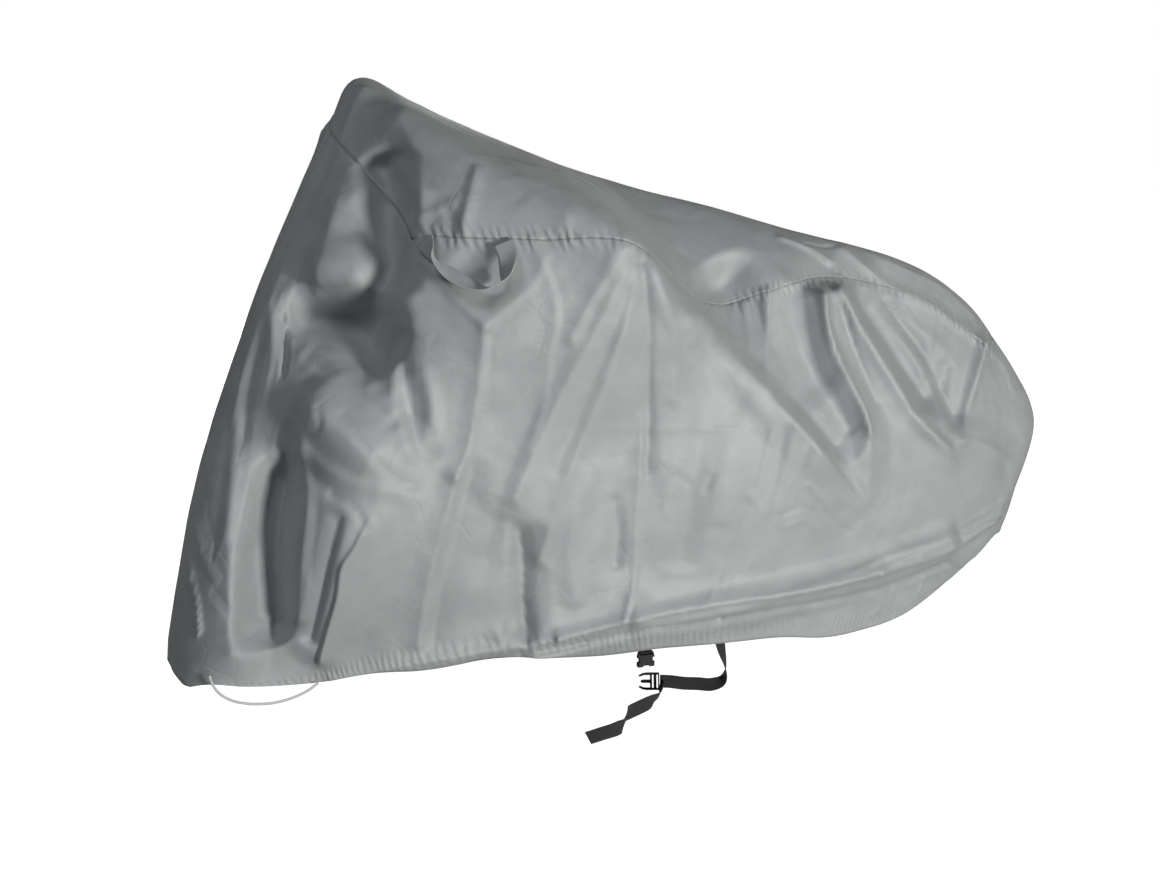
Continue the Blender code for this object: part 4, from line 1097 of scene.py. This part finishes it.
def moulded_plastic():
    """Black moulded plastic with a fine satin grain."""
    made, shade, shader = new_material("moulded plastic", 0.36)
    place = shade.node("ShaderNodeTexCoord", out="Object")
    grain = shade.node("ShaderNodeTexNoise", {"Vector": place, "Scale": 2200.0, "Detail": 2.0})
    worn = shade.node("ShaderNodeTexNoise", {"Vector": place, "Scale": 140.0, "Detail": 2.0})
    colour = worn.mixed((0.010, 0.010, 0.011), (0.022, 0.022, 0.023))
    bumps = (Bump(grain, distance=0.0001, strength=0.4),)
    feed(shade, shader, colour=colour, roughness=worn * 0.2 + 0.28, bumps=bumps)
    return made


def braided_elastic():
    """Pale grey braided cover of the elastic cord."""
    made, shade, shader = new_material("braided elastic", 0.66, sheen=0.2)
    on_cord = shade.node("ShaderNodeTexCoord", out="Object")
    braid = weave_height(on_cord, BRAID_PITCH)
    flecks = shade.node("ShaderNodeTexNoise", {"Vector": on_cord, "Scale": 900.0})
    colour = flecks.mixed((0.46, 0.47, 0.47), (0.62, 0.63, 0.63))
    feed(shade, shader, colour=colour, bumps=(Bump(braid, distance=0.0003, strength=0.6),))
    return made


# ------------------------------------------------------------------- geometry


def spline(knots, values, at):
    """Smooth curve through values (k, ...) at the given knots (k), read at `at`."""
    knots = np.asarray(knots, float)
    values = np.asarray(values, float)
    column = (slice(None),) + (None,) * (values.ndim - 1)
    spans = np.diff(knots)
    slopes = np.diff(values, axis=0) / spans[column]
    tangents = np.empty_like(values)
    tangents[0] = slopes[0]
    tangents[-1] = slopes[-1]
    share = (spans[1:] / (spans[:-1] + spans[1:]))[column]
    tangents[1:-1] = slopes[:-1] * share + slopes[1:] * (1 - share)
    at = np.clip(np.asarray(at, float), knots[0], knots[-1])
    span = np.clip(np.searchsorted(knots, at, side="right") - 1, 0, len(spans) - 1)
    width = spans[span]
    u = (at - knots[span]) / width
    shape = u.shape + (1,) * (values.ndim - 1)
    u = u.reshape(shape)
    width = width.reshape(shape)
    return (values[span] * (1 + 2 * u) * (1 - u) ** 2
            + tangents[span] * width * u * (1 - u) ** 2
            + values[span + 1] * u * u * (3 - 2 * u)
            - tangents[span + 1] * width * u * u * (1 - u))


def passed_along(points):
    """How much of the line through these points is passed at each of them."""
    steps = np.linalg.norm(np.diff(points, axis=0), axis=1)
    return np.concatenate(([0.0], np.cumsum(steps)))


def section_points():
    """Seven points of every section, from the near hem over the crown to the far hem."""
    rows = []
    for near, far in zip(NEAR, FAR):
        far_seam = (near.seam[0], far.seam_y, far.seam_z)
        far_waist = (near.waist[0], far.waist_y, near.waist[2])
        far_hem = (near.hem[0], far.hem_y, near.hem[2])
        rows.append((near.hem, near.waist, near.seam, near.crown, far_seam, far_waist, far_hem))
    return np.array(rows)


SECTIONS = section_points()
FINE_STEPS = 20                     # steps to a cell, where lengths are measured
WAIST_STEPS = 400
ALONG_KNOTS = range(LAST + 1)
ACROSS_KNOTS = (-1.0, -WAIST_AT, -SEAM_AT, 0.0, SEAM_AT, WAIST_AT, 1.0)


def smooth_cloth(along, across):
    """Points of the cloth without folds: along 0..LAST, across -1 near hem..1 far hem."""
    of_rows = spline(ALONG_KNOTS, np.eye(len(ALONG_KNOTS)), along)
    of_points = spline(ACROSS_KNOTS, np.eye(len(ACROSS_KNOTS)), across)
    return np.einsum("...i,...j,ijk->...k", of_rows, of_points, SECTIONS, optimize=True)


def cloth_slopes(along, across):
    """How the smooth cloth runs along and across, in metres per unit."""
    step = 1e-4
    run = smooth_cloth(along + step, across) - smooth_cloth(along - step, across)
    over = smooth_cloth(along, across + step) - smooth_cloth(along, across - step)
    return run / (2 * step), over / (2 * step)


def cloth_normals(along, across):
    """Outward unit normals of the smooth cloth."""
    inset = 2e-4
    along = np.clip(along, inset, LAST - inset)
    run, over = cloth_slopes(along, np.clip(across, inset - 1, 1 - inset))
    normals = np.cross(run, over)
    return normals / np.linalg.norm(normals, axis=-1, keepdims=True)


def path_place(flat, path):
    """Where flat points (n, 2) lie by a path: to its side, past its ends, share passed."""
    lengths = np.linalg.norm(np.diff(path, axis=0), axis=1)
    passed = np.concatenate(([0.0], np.cumsum(lengths)))
    best = np.full(len(flat), np.inf)
    sided = np.zeros(len(flat))
    beyond = np.zeros(len(flat))
    share = np.zeros(len(flat))
    for start, end, length, before in zip(path[:-1], path[1:], lengths, passed):
        run = (end - start) / length
        offset = flat - start
        passing = offset @ run
        along = np.clip(passing, 0.0, length)
        distance = np.linalg.norm(offset - along[:, None] * run, axis=1)
        nearer = distance < best
        best = np.where(nearer, distance, best)
        sided = np.where(nearer, offset[:, 0] * run[1] - offset[:, 1] * run[0], sided)
        beyond = np.where(nearer, abs(passing - along), beyond)
        share = np.where(nearer, (before + along) / passed[-1], share)
    return sided, beyond, share


def rounded_path(path, steps=4):
    """A path's corners rounded into a curve through its points."""
    path = np.asarray(path, float)
    passed = passed_along(path)
    return spline(passed, path, np.linspace(0, passed[-1], steps * (len(path) - 1) + 1))


def add_fold(heights, flat, fold, foot):
    """Add one fold's height to the points within its reach; `foot` softens its feet."""
    line = rounded_path(fold.path)
    reach = max(fold.left, fold.right)
    low, high = line.min(axis=0) - reach, line.max(axis=0) + reach
    near = np.flatnonzero(np.all((flat > low) & (flat < high), axis=1))
    if len(near) == 0:
        return
    sided, beyond, share = path_place(flat[near], line)
    width = np.where(sided > 0, fold.left, fold.right)
    distance = np.hypot(sided / width, beyond / (END_REACH * reach))
    profile = (1 - np.clip(distance, 0.0, 1.0) ** fold.edge) ** foot
    heights[near] += fold.height * (fold.start + (fold.end - fold.start) * share) * profile


def fold_heights(points, normals, folds, quarter, foot=SOFT_FOOT):
    """How far the folds of one side lift each point, where it faces the quarter's viewer."""
    level, upward, toward = quarter_axes(quarter)
    flat = np.stack((points @ level, points @ upward), axis=-1)
    facing = np.clip((normals @ toward) / FACING_FADE, 0.0, 1.0)
    heights = np.zeros(len(points))
    for fold in folds:
        add_fold(heights, flat, fold, foot)
    return heights * facing


def crumple_heights(points):
    """Small uneven swells that no fold of the tables accounts for."""
    heights = np.empty(len(points))
    for index, point in enumerate(points):
        where = Vector(point)
        broad = noise.noise(where * CRUMPLE_PITCHES[0])
        small = noise.noise(where * CRUMPLE_PITCHES[1] + Vector((CRUMPLE_SHIFT, 0.0, 0.0)))
        heights[index] = CRUMPLE_HEIGHTS[0] * broad + CRUMPLE_HEIGHTS[1] * small
    return heights


def cloth(along, across):
    """Points of the folded cloth in ground coordinates, and the normals without folds."""
    points = smooth_cloth(along, across)
    normals = cloth_normals(along, across)
    toward = quarter_axes(NEAR_QUARTER)[2]
    swell = fold_heights(points, normals, NEAR_SWELLS, NEAR_QUARTER, SWELL_FOOT)
    swell += fold_heights(points, normals, NEAR_FOLDS, NEAR_QUARTER)
    swell += fold_heights(points, normals, NEAR_CREASES, NEAR_QUARTER, CREASE_FOOT)
    lift = fold_heights(points, normals, FAR_FOLDS, FAR_QUARTER) + crumple_heights(points)
    lift += fold_heights(points, normals, FAR_CREASES, FAR_QUARTER, CREASE_FOOT)
    return points + normals * lift[:, None] + toward * swell[:, None], normals


# --------------------------------------------------------------------- panels


def mesh_object(name, shape, finish):
    """A bmesh made a smooth-shaded object at the origin, in this finish."""
    mesh = bpy.data.meshes.new(name)
    shape.to_mesh(mesh)
    shape.free()
    mesh.materials.append(finish)
    mesh.shade_smooth()
    return add_object(name, mesh)


def thicken(piece, name, thickness, offset):
    """Give a piece its thickness: inwards at offset -1, both ways at 0."""
    thick = piece.modifiers.new(name, "SOLIDIFY")
    thick.thickness = thickness
    thick.offset = offset


def lay_map(grid, places):
    """Fill the piece's own map: `places` holds one (along, across) for each vertex."""
    uv = grid.loops.layers.uv.new("cloth")
    grid.verts.index_update()
    for face in grid.faces:
        for loop in face.loops:
            loop[uv].uv = places[loop.vert.index]


def even_steps(start, end, cells):
    """Steps along the cover whose cells are about equally long at crown and waist."""
    fine = np.linspace(start, end, FINE_STEPS * cells + 1)
    crown = smooth_cloth(fine, np.zeros(len(fine)))
    waist = smooth_cloth(fine, np.full(len(fine), -WAIST_AT))
    moved = sum(np.linalg.norm(np.diff(line, axis=0), axis=1) for line in (crown, waist))
    passed = np.concatenate(([0.0], np.cumsum(moved)))
    return np.interp(np.linspace(0, passed[-1], cells + 1), passed, fine)


def in_cap(along, down):
    """Whether a place lies on the cap, inside its seams."""
    return CAP_FRONT < along < CAP_REAR and down < SEAM_AT


def metres_along(along):
    """Length of cloth passed at the waist, for the weave's map."""
    fine = np.linspace(0, LAST, WAIST_STEPS)
    waist = smooth_cloth(fine, np.full(len(fine), -WAIST_AT))
    return np.interp(along, fine, passed_along(waist))


def cut_panel(name, along_steps, across_steps, side, finish):
    """A panel of the cloth over these steps, without what the cap holds."""
    grid = bmesh.new()
    columns = len(along_steps) - 1
    rows = len(across_steps) - 1
    bmesh.ops.create_grid(grid, x_segments=columns, y_segments=rows, size=0.5)
    for vert in grid.verts:
        vert.co.x = along_steps[round((vert.co.x + 0.5) * columns)]
        vert.co.y = across_steps[round((vert.co.y + 0.5) * rows)]
    if side:
        middles = [(face, face.calc_center_median()) for face in grid.faces]
        cut = [face for face, middle in middles if in_cap(middle.x, abs(middle.y))]
        bmesh.ops.delete(grid, geom=cut, context="FACES")
    along = np.array([vert.co.x for vert in grid.verts])
    across = np.array([vert.co.y for vert in grid.verts])
    if side:
        along, across, sunk = under_cap(along, across, side)
    else:
        sunk = np.zeros(len(along))
    points, normals = cloth(along, across)
    points = points - normals * sunk[:, None] - HOLD_POINT
    lay_map(grid, np.stack((metres_along(along), CLOTH_REACH * across), axis=1))
    for vert, point in zip(grid.verts, points):
        vert.co = point
    bmesh.ops.recalc_face_normals(grid, faces=grid.faces)
    face = grid.faces[len(grid.faces) // 2]
    outward = normals[face.verts[0].index]
    if face.normal.dot(Vector(outward)) < 0:
        bmesh.ops.reverse_faces(grid, faces=grid.faces)
    made = mesh_object(name, grid, finish)
    thicken(made, "cloth thickness", CLOTH, -1.0)
    return made


def under_cap(along, across, side):
    """Run a skirt's top edge up under the cap's: the new places and how far they sink."""
    inset, slack = 0.01, 0.001
    clear = np.clip(along, inset, LAST - inset)
    run, over = cloth_slopes(clear, np.clip(across, inset - 1, 1 - inset))
    below_cap = (along > CAP_FRONT - inset) & (along < CAP_REAR + inset)
    down = abs(across)
    at_seam = np.isclose(down, SEAM_AT) & below_cap
    at_front = np.isclose(along, CAP_FRONT) & (down < SEAM_AT + slack)
    at_rear = np.isclose(along, CAP_REAR) & (down < SEAM_AT + slack)
    step_across = SEAM_OVERLAP / np.linalg.norm(over, axis=1)
    step_along = SEAM_OVERLAP / np.linalg.norm(run, axis=1)
    across = across - side * step_across * (at_seam & ~at_front & ~at_rear)
    along = along + step_along * at_front - step_along * at_rear
    return along, across, SEAM_STEP * (at_seam | at_front | at_rear)


def make_panels(finish):
    """The cap and the two skirts that are gathered into it."""
    panels = {}
    for name, cells, side in (("near_skirt", NEAR_CELLS, -1), ("far_skirt", FAR_CELLS, 1)):
        nose = even_steps(0, CAP_FRONT, cells.nose)
        cap = even_steps(CAP_FRONT, CAP_REAR, cells.cap)
        tail = even_steps(CAP_REAR, LAST, cells.tail)
        half_cap = np.linspace(0, SEAM_AT, cells.half_cap + 1)
        skirt = np.linspace(SEAM_AT, 1, cells.skirt + 1)
        length = np.concatenate((nose, cap[1:], tail[1:]))
        down = np.concatenate((half_cap, skirt[1:]))
        across = -down[::-1] if side < 0 else down
        panels[name] = cut_panel(name, length, across, side, finish)
    cap = even_steps(CAP_FRONT, CAP_REAR, CAP_CELLS.cap)
    width = np.linspace(-SEAM_AT, SEAM_AT, 2 * CAP_CELLS.half_cap + 1)
    panels["cap"] = cut_panel("cap", cap, width, 0, finish)
    return panels


# ------------------------------------------------------- loops, webbing and cord


def smooth_route(points, steps):
    """A smooth curve of `steps` points through a route's own points."""
    points = np.asarray(points, float)
    passed = passed_along(points[:, :3])
    return spline(passed, points, np.linspace(0, passed[-1], steps))


def route_length(points):
    """Length of a route's middle line."""
    return float(np.linalg.norm(np.diff(points, axis=0), axis=1).sum())


def sweep_strip(name, points, width_ways, width, thickness, finish, sides=8):
    """A woven strip along points (world), its width pointing the given ways."""
    runs = np.gradient(points, axis=0)
    runs /= np.linalg.norm(runs, axis=1, keepdims=True)
    ways = width_ways - (width_ways * runs).sum(axis=1, keepdims=True) * runs
    ways /= np.linalg.norm(ways, axis=1, keepdims=True)
    strip = bmesh.new()
    bmesh.ops.create_grid(strip, x_segments=len(points) - 1, y_segments=sides, size=0.5)
    passed = passed_along(points)
    places = []
    for vert in strip.verts:
        step = round((vert.co.x + 0.5) * (len(points) - 1))
        u = vert.co.y
        places.append((passed[step], u * width))
        vert.co = Vector(points[step] + ways[step] * width * u)
    lay_map(strip, places)
    made = mesh_object(name, strip, finish)
    thicken(made, "strip thickness", thickness, 0.0)
    return made


def loop_route(ends):
    """Middle line and width directions of a loop that hangs from its seam."""
    rows = np.array(LOOP_POINTS)
    share, drop, stand = rows[:, 0], rows[:, 1], rows[:, 2]
    along = ends.start + (ends.end - ends.start) * share
    seam = np.full(len(rows), ends.side * SEAM_AT)
    run, down = cloth_slopes(along, seam)
    along_seam = run / np.linalg.norm(run, axis=1, keepdims=True) * np.sign(ends.end - ends.start)
    per_metre = 1 / np.linalg.norm(down, axis=1)
    points, outward = cloth(along, seam + ends.side * ends.sag * drop * per_metre)
    points = points + outward * (stand * ends.reach)[:, None]
    upward = np.array((0.0, 0.0, 1.0))
    ways = rows[:, 3:4] * along_seam + rows[:, 4:5] * outward + rows[:, 5:6] * upward
    return points - HOLD_POINT, ways


# ---------------------------------------------------------------------- making


def make_loops(finish):
    """The two cloth handles; each with its length along the middle."""
    made = {}
    for name, ends in (("near_handle", NEAR_LOOP), ("far_handle", FAR_LOOP)):
        points, ways = loop_route(ends)
        route = smooth_route(np.hstack((points, ways)), LOOP_STEPS)
        middle = route[:, :3]
        strip = sweep_strip(name, middle, route[:, 3:], LOOP_WIDTH, LOOP_THICKNESS, finish)
        made[name] = (strip, route_length(middle))
    return made


def make_webbing(finish):
    """The sewn tab, the long strap and the tail that its buckle takes up."""
    made = {}
    for name, rows, steps in (
        ("webbing_tab", TAB, 13),
        ("webbing_strap", STRAP, 81),
        ("webbing_tail", TAIL, 81),
    ):
        route = smooth_route(rows, steps)
        points = route[:, :3] - HOLD_POINT
        strip = sweep_strip(name, points, route[:, 3:], WEBBING_WIDTH, WEBBING, finish, sides=6)
        made[name] = (strip, points)
    return made


def make_cord(finish):
    """The elastic cord where it hangs free of the front hem."""
    curve = bpy.data.curves.new("front_elastic", "CURVE")
    curve.dimensions = "3D"
    curve.bevel_depth = CORD_DIAMETER / 2
    curve.bevel_resolution = 4
    curve.use_fill_caps = True
    line = curve.splines.new("POLY")
    route = smooth_route(CORD, CORD_STEPS) - HOLD_POINT
    line.points.add(len(route) - 1)
    for point, position in zip(line.points, route):
        point.co = (*position, 1.0)
    curve.materials.append(finish)
    return add_object("front_elastic", curve), route


def declare(pieces, loops, webbing, cord):
    """Hide the CAD node that each piece replaces and hang the piece on the root."""
    for piece, node, flat, area in (
        (pieces["near_skirt"], "near_panel", (2.30, 0.95), 1.74),
        (pieces["far_skirt"], "far_panel", (2.30, 0.95), 1.45),
        (pieces["cap"], "top_panel", (1.45, 0.65), 0.70),
    ):
        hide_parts(node)
        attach(piece, "root")
    for (strip, length), node in zip(loops.values(), ("near_loop", "far_loop")):
        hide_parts(node)
        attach(strip, "root")
    (tab, tab_path), (strap, strap_path), (tail, tail_path) = webbing.values()
    for strip, node in ((tab, "strap_tab"), (strap, "strap"), (tail, "strap_tail")):
        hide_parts(node)
        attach(strip, "root")
    piece, route = cord
    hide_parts("hem_elastic")
    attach(piece, "root")


def finish_nodes(finish):
    """Give the buckle's CAD nodes their finish."""
    for name in ("buckle_plug", "buckle_socket"):
        for slot in bpy.data.objects[name].material_slots:
            slot.material = finish


def main():
    """Make the studio and the cover, then hide the CAD nodes its pieces replace and hang them on
    the root.
    """
    make_camera()
    make_lights()
    make_world()
    make_floor()
    cloth_finish = coated_cloth()
    pieces = make_panels(cloth_finish)
    loops = make_loops(cloth_finish)
    webbing = make_webbing(webbing_weave())
    cord = make_cord(braided_elastic())
    finish_nodes(moulded_plastic())
    declare(pieces, loops, webbing, cord)


main()
